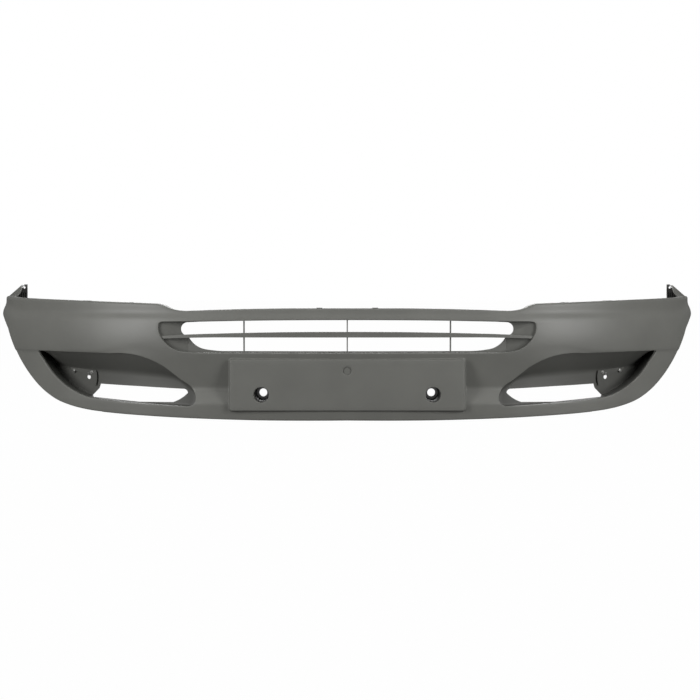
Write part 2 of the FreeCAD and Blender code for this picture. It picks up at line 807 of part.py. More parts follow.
GRILLE_LOW, GRILLE_HIGH = 90, 200
GRILLE_FLANGE_LOW, GRILLE_FLANGE_HIGH = 82, 188
GRILLE_END_ANGLE = 30
PANEL_OUTER_X, PANEL_INNER_X = 475, 400
FLANGE_WIDTH = 16


def flange_ring(outline, margin, near, far):
    """Fixing flange behind the skin, around an opening."""
    ring = along_skin(layer(size("wall"), 2 * size("wall")))
    return shared(ring, grown_prism(outline, margin, near, far)).cut(front_prism(outline, near, far))


def plan_prism(points):
    """Solid with an outline of (across, along) seen from above, as high as the grille frame."""
    low, high = GRILLE_LOW - 10, GRILLE_HIGH + 20
    face = outline_face(points, lambda across, along: Vector(across, along, low))
    return face.extrude(Vector(0, 0, high - low))


def grille_frame_shape():
    """Tunnel behind the skin opening, with sloping end panels and a slotted back."""
    wall, depth = size("wall"), size("grille_depth")
    opening = both_sides(GRILLE_OPENING)
    outer = grown_prism(opening, wall, AHEAD, BEHIND)
    zone = (GRILLE_LOW, GRILLE_HIGH, -GRILLE_END_ANGLE, GRILLE_END_ANGLE)
    tunnel = shared(band(-wall - depth, -wall, *zone), outer)
    tunnel = tunnel.cut(front_prism(opening, AHEAD, BEHIND))
    back = shared(band(-wall - depth, -depth, *zone), outer)
    outer_y, inner_y = depth_at(PANEL_OUTER_X) + wall, depth_at(PANEL_INNER_X) + depth
    panel_front = [(PANEL_INNER_X, inner_y), (PANEL_OUTER_X, outer_y)]
    panel_back = [(PANEL_OUTER_X, outer_y + wall), (PANEL_INNER_X, inner_y + wall)]
    panel = shared(plan_prism(panel_front + panel_back), outer)
    room_x = PANEL_OUTER_X + 3 * FLANGE_WIDTH
    room = [(room_x, outer_y + wall), (room_x, BEHIND), (PANEL_INNER_X, BEHIND)]
    behind_panel = plan_prism(list(reversed(panel_back)) + room)
    frame = tunnel.fuse([back, panel, mirrored_x(panel)])
    aperture = front_prism(both_sides(GRILLE_APERTURE), AHEAD, BEHIND)
    frame = frame.cut([aperture, behind_panel, mirrored_x(behind_panel)])
    flange_zone = Part.makeBox(
        2 * HALF_SPAN,
        BEHIND - AHEAD,
        GRILLE_FLANGE_HIGH - GRILLE_FLANGE_LOW,
        Vector(-HALF_SPAN, AHEAD, GRILLE_FLANGE_LOW),
    )
    frame = frame.fuse(flange_ring(opening, FLANGE_WIDTH, AHEAD, BEHIND).common(flange_zone))
    frame = frame.cut(along_skin(ahead_of(wall)))
    return one_solid(without_shanks(frame, grille_screw_places, size("short_screw")))


grille_frame = add_feature("grille_frame", grille_frame_shape())

BLADE_OUTLINE = [
    (0, 156.3, 1.4),
    (330, 151.8, 0.8),
    (468, 145.6),
    (468, 138.8, -0.6),
    (330, 142.5),
    (0, 142.5),
]


BLADE_SETBACK = 1
BLADE_LOW, BLADE_HIGH = 130, 165


def grille_blade_shape():
    """Long blade across the opening, arched along its top edge and flush with the skin."""
    depth = size("blade_depth")
    zone = (BLADE_LOW, BLADE_HIGH, -GRILLE_END_ANGLE, GRILLE_END_ANGLE)
    blade = band(-BLADE_SETBACK - depth, -BLADE_SETBACK, *zone)
    blade = blade.common(front_prism(both_sides(BLADE_OUTLINE), AHEAD, BEHIND))
    return one_solid(blade.cut(grille_frame.Shape))


add_feature("grille_blade", grille_blade_shape())

# Name, place and lower and upper end of each upright.
UPRIGHTS = [("left", -1, 107.8, 183.2), ("centre", 0, 107.4, 185.5), ("right", 1, 107.8, 183.2)]

for side_name, side, low, high in UPRIGHTS:
    upright_x = side * size("upright_spacing")
    upright = doc.addObject("Part::Box", "grille_upright_" + side_name)
    upright.Label = upright.Name
    upright.setExpression("Length", "sizes.upright_thickness")
    upright.setExpression("Width", "sizes.upright_depth")
    upright.Height = high - low
    upright.Placement = Placement(
        Vector(
            upright_x - size("upright_thickness") / 2,
            depth_at(upright_x) + BLADE_SETBACK + size("blade_depth") + size("upright_gap"),
            low,
        ),
        Rotation(),
    )
    sub_parts.append(upright)


# ---------------------------------------------------------------- lamp pockets

# Each station of the right-hand pocket is (across, depth behind the skin, top at the skin,
# top at the back wall, floor).
POCKET_STATIONS = [
    (384, 34, 2, 0, -18),
    (402, 35, 20, 16, -31.5),
    (430, 37, 44, 38, -31),
    (458, 39, 66, 44, -30),
    (500, 43, 90, 47, -28),
    (560, 51, 98, 50, -26),
    (630, 64, 100, 52, -20),
    (670, 72, 101, 53, -14),
    (708, 78, 101.5, 54, -1),
    (744, 86, 101.8, 57, 21),
    (777, 96, 102, 66, 51),
    (810, 100, 102, 98, 96),
]


POCKET_REACH_AHEAD = 30
HEM_CLEARANCE_TOP = -44
CORNER_ANGLE = 60


def pocket_block(stations, margin):
    """Solid through the stations, grown by a margin at the top, back and floor."""
    wires = []
    for number, (x, depth, top, back_top, floor) in enumerate(stations):
        end_shift = {0: -margin, len(stations) - 1: margin}.get(number, 0)
        skin_y = depth_at(x)
        corners = [
            (skin_y - POCKET_REACH_AHEAD, floor - margin),
            (skin_y + depth + margin, floor - margin),
            (skin_y + depth + margin, back_top + margin),
            (skin_y, top + margin),
            (skin_y - POCKET_REACH_AHEAD, top + margin),
        ]
        points = [Vector(x + end_shift, y, z) for y, z in corners]
        wires.append(Part.makePolygon(points + points[:1]))
    return Part.makeLoft(wires, True, True)


def lamp_pocket_shape():
    """Right-hand pocket: soffit, back wall with the air slot, floor and fixing flange."""
    wall = size("wall")
    pocket = pocket_block(POCKET_STATIONS, wall).cut(pocket_block(POCKET_STATIONS, 0))
    pocket = pocket.cut(along_skin(ahead_of(wall)))
    ring = flange_ring(LAMP_OPENING, FLANGE_WIDTH, AHEAD, BEHIND).cut(pocket_block(POCKET_STATIONS, 0))
    hem_clearance = band(-60, 60, 2 * size("blank_bottom"), HEM_CLEARANCE_TOP, -CORNER_ANGLE, CORNER_ANGLE)
    return pocket.fuse(ring).cut([front_prism(LAMP_APERTURE, -60, BEHIND), hem_clearance])


# ---------------------------------------------------------------- lamp bracket and its nut clip

# The bracket lies flat against the front of the pocket's back wall. In the bracket's own
# frame X runs along the wall towards the outside of the vehicle, Z is up and Y is its thickness.
BRACKET_INNER_X = 652
BRACKET_OUTER_X = 732
BRACKET_SLOT = (673, 34)
BRACKET_SCREWS = [(664, 47), (718, 49)]


def back_wall_y(x):
    """Y of the pocket's back wall, between the stations."""
    for near, far in zip(POCKET_STATIONS, POCKET_STATIONS[1:]):
        if near[0] <= x <= far[0]:
            share = (x - near[0]) / (far[0] - near[0])
            near_y = depth_at(near[0]) + near[1]
            return near_y + share * (depth_at(far[0]) + far[1] - near_y)
    raise ValueError("x %.1f is outside the pocket" % x)


inner_corner = Vector(BRACKET_INNER_X, back_wall_y(BRACKET_INNER_X), 0)
outer_corner = Vector(BRACKET_OUTER_X, back_wall_y(BRACKET_OUTER_X), 0)
WALL_RUN = (outer_corner - inner_corner).normalize()
BRACKET_CLEARANCE = 3
BRACKET_OUTLINE = [(0, 12, 4), (-2, 52), (96, 57), (92, 50, -9)]
BRACKET_HOLE_RADIUS = 2.5
SLOT_MARGIN = 2
TOOL = 20
wall_turn = math.degrees(math.atan2(WALL_RUN.y, WALL_RUN.x))
forward = Vector(WALL_RUN.y, -WALL_RUN.x, 0)
BRACKET_PLACE = Placement(inner_corner + forward * BRACKET_CLEARANCE, Rotation(Vector(0, 0, 1), wall_turn))


def on_bracket(x, z, ahead=0.0):
    """A point on the back face of the right-hand bracket."""
    return BRACKET_PLACE.multVec(Vector((x - BRACKET_INNER_X) / WALL_RUN.x, -ahead, z))


def slot_outline(length, width):
    """Closed outline of a round-ended slot, centred on its own origin."""
    straight, radius = (length - width) / 2, width / 2
    right_end = [(straight, -radius, -radius), (straight, radius)]
    return [(-straight, -radius)] + right_end + [(-straight, radius, -radius)]


def slot_tool(x, z, length, width):
    """Slot-shaped cutter square to the bracket."""
    face = outline_face(slot_outline(length, width), lambda across, up: Vector(across, -TOOL, up))
    tool = face.extrude(Vector(0, 2 * TOOL, 0))
    tool.Placement = Placement(on_bracket(x, z), BRACKET_PLACE.Rotation)
    return tool


def bracket_body(name, mirrored):
    """Sheet plate with a curved lower edge and a round-ended slot."""
    thickness = size("bracket_thickness")
    face = outline_face(BRACKET_OUTLINE, lambda across, up: Vector(across, 0, up))
    plate = face.extrude(Vector(0, -thickness, 0))
    plate.Placement = BRACKET_PLACE
    slot = slot_tool(*BRACKET_SLOT, size("bracket_slot_length"), size("bracket_slot_width"))
    plate = plate.cut(slot)
    for x, z in BRACKET_SCREWS:
        plate = plate.cut(Part.makeCylinder(BRACKET_HOLE_RADIUS, TOOL, on_bracket(x, z, TOOL / 2), -forward))
    return add_feature(name, mirrored_x(plate) if mirrored else plate)


def finished_pocket():
    """The pocket with its air slot over the bracket hole and its screw holes."""
    pocket = lamp_pocket_shape()
    length, width = size("bracket_slot_length") + SLOT_MARGIN, size("bracket_slot_width") + SLOT_MARGIN
    pocket = pocket.cut(slot_tool(*BRACKET_SLOT, length, width))
    for x, z in BRACKET_SCREWS:
        boss_length = BRACKET_CLEARANCE + size("wall") / 2
        boss = Part.makeCylinder(BOSS_RADIUS, boss_length, on_bracket(x, z), -forward)
        pocket = pocket.fuse(boss)
        pilot = Part.makeCylinder(size("screw_shank_radius"), TOOL, on_bracket(x, z, TOOL / 2), -forward)
        pocket = pocket.cut(pilot)
    return one_solid(without_shanks(pocket, right_pocket_screw_places, size("short_screw")))


right_pocket = finished_pocket()
add_feature("right_lamp_pocket", right_pocket)
add_feature("left_lamp_pocket", mirrored_x(right_pocket))
bracket_body("right_lamp_bracket", False)
bracket_body("left_lamp_bracket", True)


NUT_CLIP_HEIGHT = 8
NUT_RADIUS = 1.5
NUT_HEIGHT = 3.5


def nut_clip_shape():
    """Spring clip that hugs the plate over the slot and carries the lamp's screw."""
    steel, plate = size("nut_clip_thickness"), size("bracket_thickness")
    foot = size("bracket_slot_width") / 2
    width, height = size("nut_clip_width"), NUT_CLIP_HEIGHT
    outer = Part.makeBox(width, plate + 2 * steel, height, Vector(-width / 2, -plate - steel, foot - steel))
    gap = Part.makeBox(width, plate, height, Vector(-width / 2, -plate, foot))
    hole = Part.makeCylinder(NUT_RADIUS, TOOL, Vector(0, -TOOL / 2, foot + NUT_HEIGHT), Vector(0, 1, 0))
    for piece in (outer, gap, hole):
        seat = Placement(on_bracket(*BRACKET_SLOT), BRACKET_PLACE.Rotation)
        piece.Placement = seat.multiply(piece.Placement)
    return outer.cut([gap, hole])


right_clip = nut_clip_shape()
add_feature("right_lamp_nut_clip", right_clip)
add_feature("left_lamp_nut_clip", mirrored_x(right_clip))


# ---------------------------------------------------------------- wing brackets

WING_BRACKET_ANGLE = 81.3
WING_BRACKET_OFFSET = -31
WING_BRACKET_GAP = 0.3
RIVETS_ALONG = (5, 17)


def wing_bracket_base(side):
    """Outboard lower corner of the bracket's plate, which stands on the top flange."""
    base = plan_point(side * WING_BRACKET_ANGLE, WING_BRACKET_OFFSET)
    first, second = TOP_EDGE_WING[1], TOP_EDGE_WING[2]
    share = (base.y - first[0]) / (second[0] - first[0])
    return Vector(base.x, base.y, first[1] + share * (second[1] - first[1]) + WING_BRACKET_GAP)


def wing_bracket(name, side):
    """Ribbed plate with a foot on the top flange, where the fender slides over the wing.

    In the body's own frame X runs outboard on the right and inboard on the left, as on the
    vehicle, Y is to the rear and Z is up; the origin is the plate's outboard lower corner.
    """
    inboard = "-" if side > 0 else ""
    outboard = "" if side > 0 else "-"
    body = new_body(name)
    plate_corners = [
        ("0", "0"),
        (inboard + "sizes.wing_bracket_width", "0"),
        (inboard + "sizes.wing_bracket_width", "sizes.wing_bracket_height"),
        (inboard + "sizes.wing_bracket_shoulder", "sizes.wing_bracket_height"),
        (inboard + "sizes.wing_bracket_shoulder", "sizes.wing_bracket_height - sizes.wing_bracket_step"),
        ("0", "sizes.wing_bracket_low"),
    ]
    plate = body.newObject("PartDesign::Pad", name + "_plate")
    plate.Profile = corner_sketch(body, name + "_plate_outline", "XZ_Plane", plate_corners)
    plate.setExpression("Length", "sizes.wing_bracket_wall")
    foot_corners = [
        (inboard + "sizes.wing_bracket_wall", "-sizes.wing_bracket_wall"),
        (outboard + "sizes.wing_bracket_foot", "-sizes.wing_bracket_wall"),
        (outboard + "sizes.wing_bracket_foot", "sizes.wing_bracket_depth"),
        (inboard + "sizes.wing_bracket_wall", "sizes.wing_bracket_depth"),
    ]
    foot = body.newObject("PartDesign::Pad", name + "_foot")
    foot.Profile = corner_sketch(body, name + "_foot_outline", "XY_Plane", foot_corners)
    foot.setExpression("Length", "sizes.wing_bracket_wall")
    rib_corners = [
        ("0", "0"),
        (inboard + "sizes.wing_bracket_rib", "0"),
        (inboard + "sizes.wing_bracket_rib", "sizes.wing_bracket_low"),
        ("0", "sizes.wing_bracket_low"),
    ]
    rib_outline = corner_sketch(body, name + "_rib_outline", "XZ_Plane", rib_corners)
    rib = body.newObject("PartDesign::Pad", name + "_rib")
    rib.Profile = rib_outline
    rib.setExpression("Length", "sizes.wing_bracket_wall + sizes.wing_bracket_rib_depth")
    pattern = body.newObject("PartDesign::LinearPattern", name + "_ribs")
    pattern.Originals = [rib]
    pattern.Direction = (rib_outline, ["H_Axis"])
    pattern.Reversed = side > 0
    pattern.setExpression("Length", "sizes.wing_bracket_width - sizes.wing_bracket_rib")
    pattern.setExpression("Occurrences", "sizes.wing_bracket_ribs")
    body.Tip = pattern
    fixing_x = inboard + "sizes.wing_hole_inboard"
    drill(body, name + "_fixing", "XZ_Plane", fixing_x, "sizes.wing_hole_height", "sizes.wing_hole_radius")
    for number, along in enumerate(RIVETS_ALONG, start=1):
        rivet_x = outboard + "sizes.wing_bracket_foot / 2"
        drill(body, "%s_rivet_%d" % (name, number), "XY_Plane", rivet_x, str(along), "sizes.rivet_radius")
    body.Placement = Placement(wing_bracket_base(side), Rotation())


def rivet_places(side):
    """Placements of the two rivets through the bracket's foot and the top flange."""
    base = wing_bracket_base(side)
    top = base + Vector(side * size("wing_bracket_foot") / 2, 0, size("wing_bracket_wall"))
    return [along_axis(top + Vector(0, along, 0), Vector(0, 0, -1)) for along in RIVETS_ALONG]


wing_bracket("left_wing_bracket", -1)
wing_bracket("right_wing_bracket", 1)
add_feature("bumper_skin", skin_shape())


# ---------------------------------------------------------------- fasteners


def screw_pattern(name, length):
    """Washer-head tapping screw along its own +Y axis; length is a sheet expression."""
    corners = [
        ("0", "-sizes.screw_head"),
        ("sizes.screw_head_radius / 2", "-sizes.screw_head"),
        ("sizes.screw_head_radius / 2", "-sizes.screw_head / 3"),
        ("sizes.screw_head_radius", "-sizes.screw_head / 3"),
        ("sizes.screw_head_radius", "0"),
        ("sizes.screw_shank_radius", "0"),
        ("sizes.screw_shank_radius", length + " - 1"),
        ("0", length),
    ]
    return turned_body(name, corners, Placement(), keep=False)


short_screw = screw_pattern("short_screw_pattern", "sizes.short_screw")
long_screw = screw_pattern("long_screw_pattern", "sizes.long_screw")
rivet = turned_body(
    "rivet_pattern",
    [
        ("0", "-sizes.rivet_head"),
        ("sizes.rivet_dome_radius", "-sizes.rivet_head"),
        ("sizes.rivet_head_radius", "0"),
        ("sizes.rivet_radius", "0"),
        ("sizes.rivet_radius", "sizes.rivet_grip"),
        ("sizes.rivet_tail_radius", "sizes.rivet_grip"),
        ("sizes.rivet_tail_end_radius", "sizes.rivet_grip + sizes.rivet_tail"),
        ("0", "sizes.rivet_grip + sizes.rivet_tail"),
    ],
    Placement(),
    keep=False,
)

add_group("grille_screws", short_screw, grille_screw_places)
add_group("left_pocket_screws", short_screw, left_pocket_screw_places)
add_group("right_pocket_screws", short_screw, right_pocket_screw_places)
add_group("plinth_screws", long_screw, plinth_screw_places)
add_group("left_wing_rivets", rivet, rivet_places(-1))
add_group("right_wing_rivets", rivet, rivet_places(1))


def bracket_screw_places(side):
    """Placements of the screws that hold a lamp bracket on its bosses."""
    places = []
    for x, z in BRACKET_SCREWS:
        point = on_bracket(x, z, size("bracket_thickness"))
        axis = -forward
        places.append(along_axis(Vector(side * point.x, point.y, z), Vector(side * axis.x, axis.y, 0)))
    return places


add_group("left_bracket_screws", short_screw, bracket_screw_places(-1))
add_group("right_bracket_screws", short_screw, bracket_screw_places(1))


# ---------------------------------------------------------------- clips on the top flange

clip_pattern = new_body("clip_pattern", keep=False)
clip_section = corner_sketch(
    clip_pattern,
    "clip_section",
    "YZ_Plane",
    [
        ("-sizes.clip_length", "sizes.clip_gap"),
        ("sizes.clip_end_gap", "sizes.clip_gap"),
        ("sizes.clip_end_gap", "-sizes.wall - sizes.clip_gap"),
        ("-sizes.clip_length", "-sizes.wall - sizes.clip_gap"),
        ("-sizes.clip_length", "-sizes.wall - sizes.clip_gap - sizes.clip_steel"),
        ("sizes.clip_end_gap + sizes.clip_steel", "-sizes.wall - sizes.clip_gap - sizes.clip_steel"),
        ("sizes.clip_end_gap + sizes.clip_steel", "sizes.clip_gap + sizes.clip_steel"),
        ("-sizes.clip_length", "sizes.clip_gap + sizes.clip_steel"),
    ],
)
clip_pad = clip_pattern.newObject("PartDesign::Pad", "clip_pad")
clip_pad.Profile = clip_section
clip_pad.setExpression("Length", "sizes.clip_width")
drill(
    clip_pattern,
    "clip_thread",
    "XY_Plane",
    "sizes.clip_width / 2",
    "-sizes.clip_hole_setback",
    "sizes.clip_thread_radius",
)
add_group("top_flange_clips", clip_pattern, clip_places())


# ---------------------------------------------------------------- check and write


def check_and_write():
    """Stop on any failed object, then write every sub-part."""
    doc.recompute()
    for item in doc.Objects:
        if "Invalid" in item.State or "Error" in item.State:
            raise RuntimeError("%s failed: %s" % (item.Name, item.State))
    os.makedirs("parts", exist_ok=True)
    for item in sub_parts:
        shape = item.Shape
        if shape.isNull() or not shape.isValid() or not shape.Solids:
            raise RuntimeError("%s has no valid solid" % item.Label)
        shape.exportStep(os.path.join("parts", item.Label + ".step"))
        print("%s: %d solid(s), %.1f cm3" % (item.Label, len(shape.Solids), shape.Volume / 1000))


check_and_write()
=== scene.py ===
import json
import math

import bmesh
import bpy
import numpy as np
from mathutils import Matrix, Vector
from mathutils.geometry import delaunay_2d_cdt
from mathutils.kdtree import KDTree


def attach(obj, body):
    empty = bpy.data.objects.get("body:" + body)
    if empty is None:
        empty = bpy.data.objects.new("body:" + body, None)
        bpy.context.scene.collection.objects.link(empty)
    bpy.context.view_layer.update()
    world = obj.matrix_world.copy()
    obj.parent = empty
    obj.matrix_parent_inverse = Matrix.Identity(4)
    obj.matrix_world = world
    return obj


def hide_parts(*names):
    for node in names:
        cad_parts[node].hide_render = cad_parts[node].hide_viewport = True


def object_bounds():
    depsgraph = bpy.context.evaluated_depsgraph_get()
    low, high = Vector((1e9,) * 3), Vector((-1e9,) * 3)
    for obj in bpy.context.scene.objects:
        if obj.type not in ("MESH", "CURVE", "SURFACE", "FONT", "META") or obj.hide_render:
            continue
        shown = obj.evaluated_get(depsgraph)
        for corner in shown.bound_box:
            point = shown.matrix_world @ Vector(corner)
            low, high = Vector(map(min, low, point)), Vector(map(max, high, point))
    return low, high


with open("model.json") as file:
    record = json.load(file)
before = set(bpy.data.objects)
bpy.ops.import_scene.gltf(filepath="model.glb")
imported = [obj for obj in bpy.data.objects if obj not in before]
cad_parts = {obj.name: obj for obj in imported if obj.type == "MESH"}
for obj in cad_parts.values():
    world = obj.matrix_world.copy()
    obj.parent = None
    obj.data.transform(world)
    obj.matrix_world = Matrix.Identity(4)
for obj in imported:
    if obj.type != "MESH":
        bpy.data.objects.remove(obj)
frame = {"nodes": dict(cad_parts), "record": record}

# Looks of the bumper cover. Shapes are worked out in millimetres, as in the part's source, and
# turned into metres when a mesh is made. +X is across the vehicle, +Y to its rear, +Z up.
# "Run" is the signed length along the plan curve from the centre line.

MM = 0.001
WALL = 3.0
cad_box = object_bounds()

# ---------------------------------------------------------------- plan curve

FRONT_Y = -91.0
PLAN_ARCS = [(6000, 3.15), (900, 12), (815, 46), (270, 78), (1400, 82.5)]


def plan_table():
    """Where each arc of the plan curve starts: run, centre x, centre y, radius, angle."""
    rows = []
    x, y, angle, run = 0.0, FRONT_Y, 0.0, 0.0
    for radius, end_degrees in PLAN_ARCS:
        end = math.radians(end_degrees)
        centre_x = x - radius * math.sin(angle)
        centre_y = y + radius * math.cos(angle)
        rows.append((run, centre_x, centre_y, radius, angle))
        run += radius * (end - angle)
        x = centre_x + radius * math.sin(end)
        y = centre_y - radius * math.cos(end)
        angle = end
    return np.array(rows), run


ARCS, TIP_RUN = plan_table()


def plan_at(run):
    """x, y and the angle of the outward normal of the plan curve."""
    reach = np.abs(run)
    arc = ARCS[np.searchsorted(ARCS[:, 0], reach, side="right") - 1]
    angle = arc[..., 4] + (reach - arc[..., 0]) / arc[..., 3]
    side = np.where(np.asarray(run) < 0, -1.0, 1.0)
    x = side * (arc[..., 1] + arc[..., 3] * np.sin(angle))
    y = arc[..., 2] - arc[..., 3] * np.cos(angle)
    return x, y, side * angle


# ---------------------------------------------------------------- section of the skin

UPPER_SECTION = [(320, -8), (204, -8), (189, 0), (103, 0)]
LOWER_SECTION = [(-22, -3), (-80, -8)]
WING_SECTION = UPPER_SECTION + [(99, -3)] + LOWER_SECTION
CENTRE_SECTION = UPPER_SECTION + [(13, -25)] + LOWER_SECTION
SECTION_CORNERS = [-22, 13, 101, 189, 204]
BULGE_LOW, BULGE_HIGH, BULGE_CROWN = 103, 189, 4
CREASE_HEIGHT, CREASE_NEARNESS = 101, 45
CENTRE_END, WING_START = 450, 560
# Near the wing tips the step behind the bulge lies higher: by how much, between which heights
# it grows, and how far from the tip it starts and is complete.
TIP_LIFT, LIFT_LOW, LIFT_HIGH = 20, 150, 205
LIFT_START, LIFT_FULL = 280, 130
ROUNDING = [(-80, 3), (-22, 4), (13, 6), (60, 10), (146, 10), (185, 7), (320, 7)]
CREASE_ROUNDING = [(0, 4), (370, 4), (460, 26), (540, 26), (640, 2.5)]
AVERAGING = np.linspace(-1, 1, 9)
NORMAL_STEP = 0.5
HALVINGS = 30


def columns(rows):
    """A list of rows as one array per column, in rising order of the first."""
    return np.array(sorted(rows), float).T


def smooth_step(share):
    """0 below 0, 1 above 1 and smooth between."""
    clipped = np.clip(share, 0, 1)
    return clipped * clipped * (3 - 2 * clipped)


def sharp_offset(height, section):
    """Offset of a section before its corners are rounded."""
    share = (height - BULGE_LOW) / (BULGE_HIGH - BULGE_LOW)
    crown = np.clip(4 * BULGE_CROWN * share * (1 - share), 0, None)
    return np.interp(height, *columns(section)) + crown


def offset_at(run, height):
    """How far the outer face stands outward from the plan curve."""
    reach = np.abs(run)
    centre = smooth_step((WING_START - reach) / (WING_START - CENTRE_END))
    usual = np.interp(height, *columns(ROUNDING))
    crease = np.interp(reach, *columns(CREASE_ROUNDING))
    nearness = np.clip(1 - np.abs(height - CREASE_HEIGHT) / CREASE_NEARNESS, 0, 1)
    width = usual + (crease - usual) * nearness
    near_tip = smooth_step((LIFT_START - (TIP_RUN - reach)) / (LIFT_START - LIFT_FULL))
    lift = TIP_LIFT * near_tip * smooth_step((height - LIFT_LOW) / (LIFT_HIGH - LIFT_LOW))
    total = 0.0
    for sample in AVERAGING:
        level = height - lift + sample * width
        wing = sharp_offset(level, WING_SECTION)
        total = total + wing + (sharp_offset(level, CENTRE_SECTION) - wing) * centre
    return total / len(AVERAGING)


def beside_plan(run, offset, height):
    """Points beside the plan curve."""
    x, y, angle = plan_at(run)
    place = [x + np.sin(angle) * offset, y - np.cos(angle) * offset, height + 0 * x]
    return np.stack(place, axis=-1)


def on_skin(run, height):
    """Points of the outer face of the skin."""
    return beside_plan(run, offset_at(run, height), height)


def skin_normal(run, height):
    """Outward normals of the outer face of the skin."""
    along = on_skin(run + NORMAL_STEP, height) - on_skin(run - NORMAL_STEP, height)
    up = on_skin(run, height + NORMAL_STEP) - on_skin(run, height - NORMAL_STEP)
    normal = np.cross(along, up)
    return normal / np.linalg.norm(normal, axis=-1, keepdims=True)


def run_at(x, height):
    """Run of the point of the outer face with this x, seen from the front."""
    low, high = np.zeros_like(x), np.full_like(x, TIP_RUN)
    for _ in range(HALVINGS):
        middle = (low + high) / 2
        beyond = on_skin(middle, height)[..., 0] > np.abs(x)
        high = np.where(beyond, middle, high)
        low = np.where(beyond, low, middle)
    return np.sign(x) * (low + high) / 2


def skin_y(x, height):
    """Y of the outer face of the skin, seen from the front."""
    return on_skin(run_at(x, height), height)[..., 1]


# ---------------------------------------------------------------- outlines, seen from the front
# Each point is (across, up, bow); a bow is the swell of the stretch that follows, to the left
# of the direction of travel.

TOP_EDGE = [
    (0, 215.5),
    (140, 215.5, 0.9),
    (400, 210.1, -2),
    (452, 217.6, 2.6),
    (490, 226.9),
    (747, 235.4),
]
TOP_EDGE_WING = [(62, 235.4), (284, 244.5), (420, 246)]
BOTTOM_EDGE = [(0, -65.1, -0.6), (220, -65.1, -1), (530, -55.2, -0.5), (640, -49)]
BOTTOM_EDGE_WING = [
    (-7, -49.6, -3.2),
    (59, -27.6, -2.4),
    (116, 20, -1.8),
    (175, 93, 3.5),
    (205, 157, 5.5),
    (284, 195),
    (420, 228),
]
GRILLE_OPENING = [
    (0, 186.6, 1.1),
    (404, 182.2),
    (470, 181.2, 1),
    (473, 178),
    (472.7, 158, 9),
    (421, 107.8, 1),
    (364, 103.7),
    (0, 103.7),
]
LAMP_OPENING = [
    (816, 102),
    (600, 99.6, -12.5),
    (458, 66.6),
    (414, 31.5, -6.4),
    (379, -7.5, -5.8),
    (394, -31),
    (559, -23.5, -0.6),
    (670, -12.3, -8.4),
    (777, 53),
    (816, 102),
]
LAMP_APERTURE = [
    (641, 17.6),
    (645, 6),
    (665, -13, 1),
    (661, -17.4),
    (530, -24.4),
    (441, -22.8, 2.8),
    (402, 1.5, 2),
    (410, 11.2),
    (530, 15.4),
    (641, 17.6),
]


def traced(outline, spacing):
    """Evenly spaced points along an open outline."""
    points = []
    for start, end in zip(outline, outline[1:]):
        run, rise = end[0] - start[0], end[1] - start[1]
        length = math.hypot(run, rise)
        bow = start[2] if len(start) > 2 else 0
        count = max(1, round(length / spacing))
        for share in np.arange(count) / count:
            swell = 4 * bow * share * (1 - share) / length
            across = start[0] + run * share - rise * swell
            up = start[1] + rise * share + run * swell
            points.append((across, up))
    points.append(outline[-1][:2])
    return np.array(points, float)


def softened(loop, passes):
    """A closed loop with its corners rounded."""
    for _ in range(passes):
        loop = (np.roll(loop, 1, axis=0) + 2 * loop + np.roll(loop, -1, axis=0)) / 4
    return loop


def clockwise(loop):
    """The closed loop, turned so that it runs clockwise."""
    following = np.roll(loop, -1, axis=0)
    area = np.sum(loop[:, 0] * following[:, 1] - following[:, 0] * loop[:, 1])
    return loop if area < 0 else loop[::-1]


def grown(loop, margin):
    """A clockwise closed loop moved outward, away from what it encloses."""
    along = np.roll(loop, -1, axis=0) - np.roll(loop, 1, axis=0)
    along = along / np.linalg.norm(along, axis=1, keepdims=True)
    return loop + margin * np.stack([-along[:, 1], along[:, 0]], axis=1)


def circle(x, height, radius, count=40):
    """Clockwise circle seen from the front."""
    turn = -2 * math.pi * np.arange(count) / count
    return np.stack([x + radius * np.cos(turn), height + radius * np.sin(turn)], axis=1)


def on_run(loop):
    """A loop of (x, height) as (run, height)."""
    return np.stack([run_at(loop[:, 0], loop[:, 1]), loop[:, 1]], axis=1)


def mirrored(loop):
    """The loop on the other side of the vehicle, running the same way round."""
    return (loop * np.array([-1, 1]))[::-1]


TRACE_SPACING = 4.0
EDGE_PASSES = 4


def edge_height(run, front, wing):
    """Height of a trimmed edge of the skin along the plan curve."""
    front_trace, wing_trace = traced(front, TRACE_SPACING), traced(wing, TRACE_SPACING)
    height = np.interp(np.abs(plan_at(run)[0]), *front_trace.T)
    for _ in range(EDGE_PASSES):
        place = on_skin(run, height)
        on_front = np.interp(np.abs(place[:, 0]), *front_trace.T)
        on_wing = np.interp(place[:, 1], *wing_trace.T)
        height = np.where(place[:, 1] < wing[0][0], on_front, on_wing)
    return height


# ---------------------------------------------------------------- meshes


def inside(points, loop):
    """Which points lie inside a closed loop."""
    result = np.zeros(len(points), bool)
    for (x1, y1), (x2, y2) in zip(loop, np.roll(loop, -1, axis=0)):
        if y1 != y2:
            crosses = (y1 > points[:, 1]) != (y2 > points[:, 1])
            at = (x2 - x1) * (points[:, 1] - y1) / (y2 - y1) + x1
            result ^= crosses & (points[:, 0] < at)
    return result


INNER_FACES = 1
SAME_POINT = 1e-5


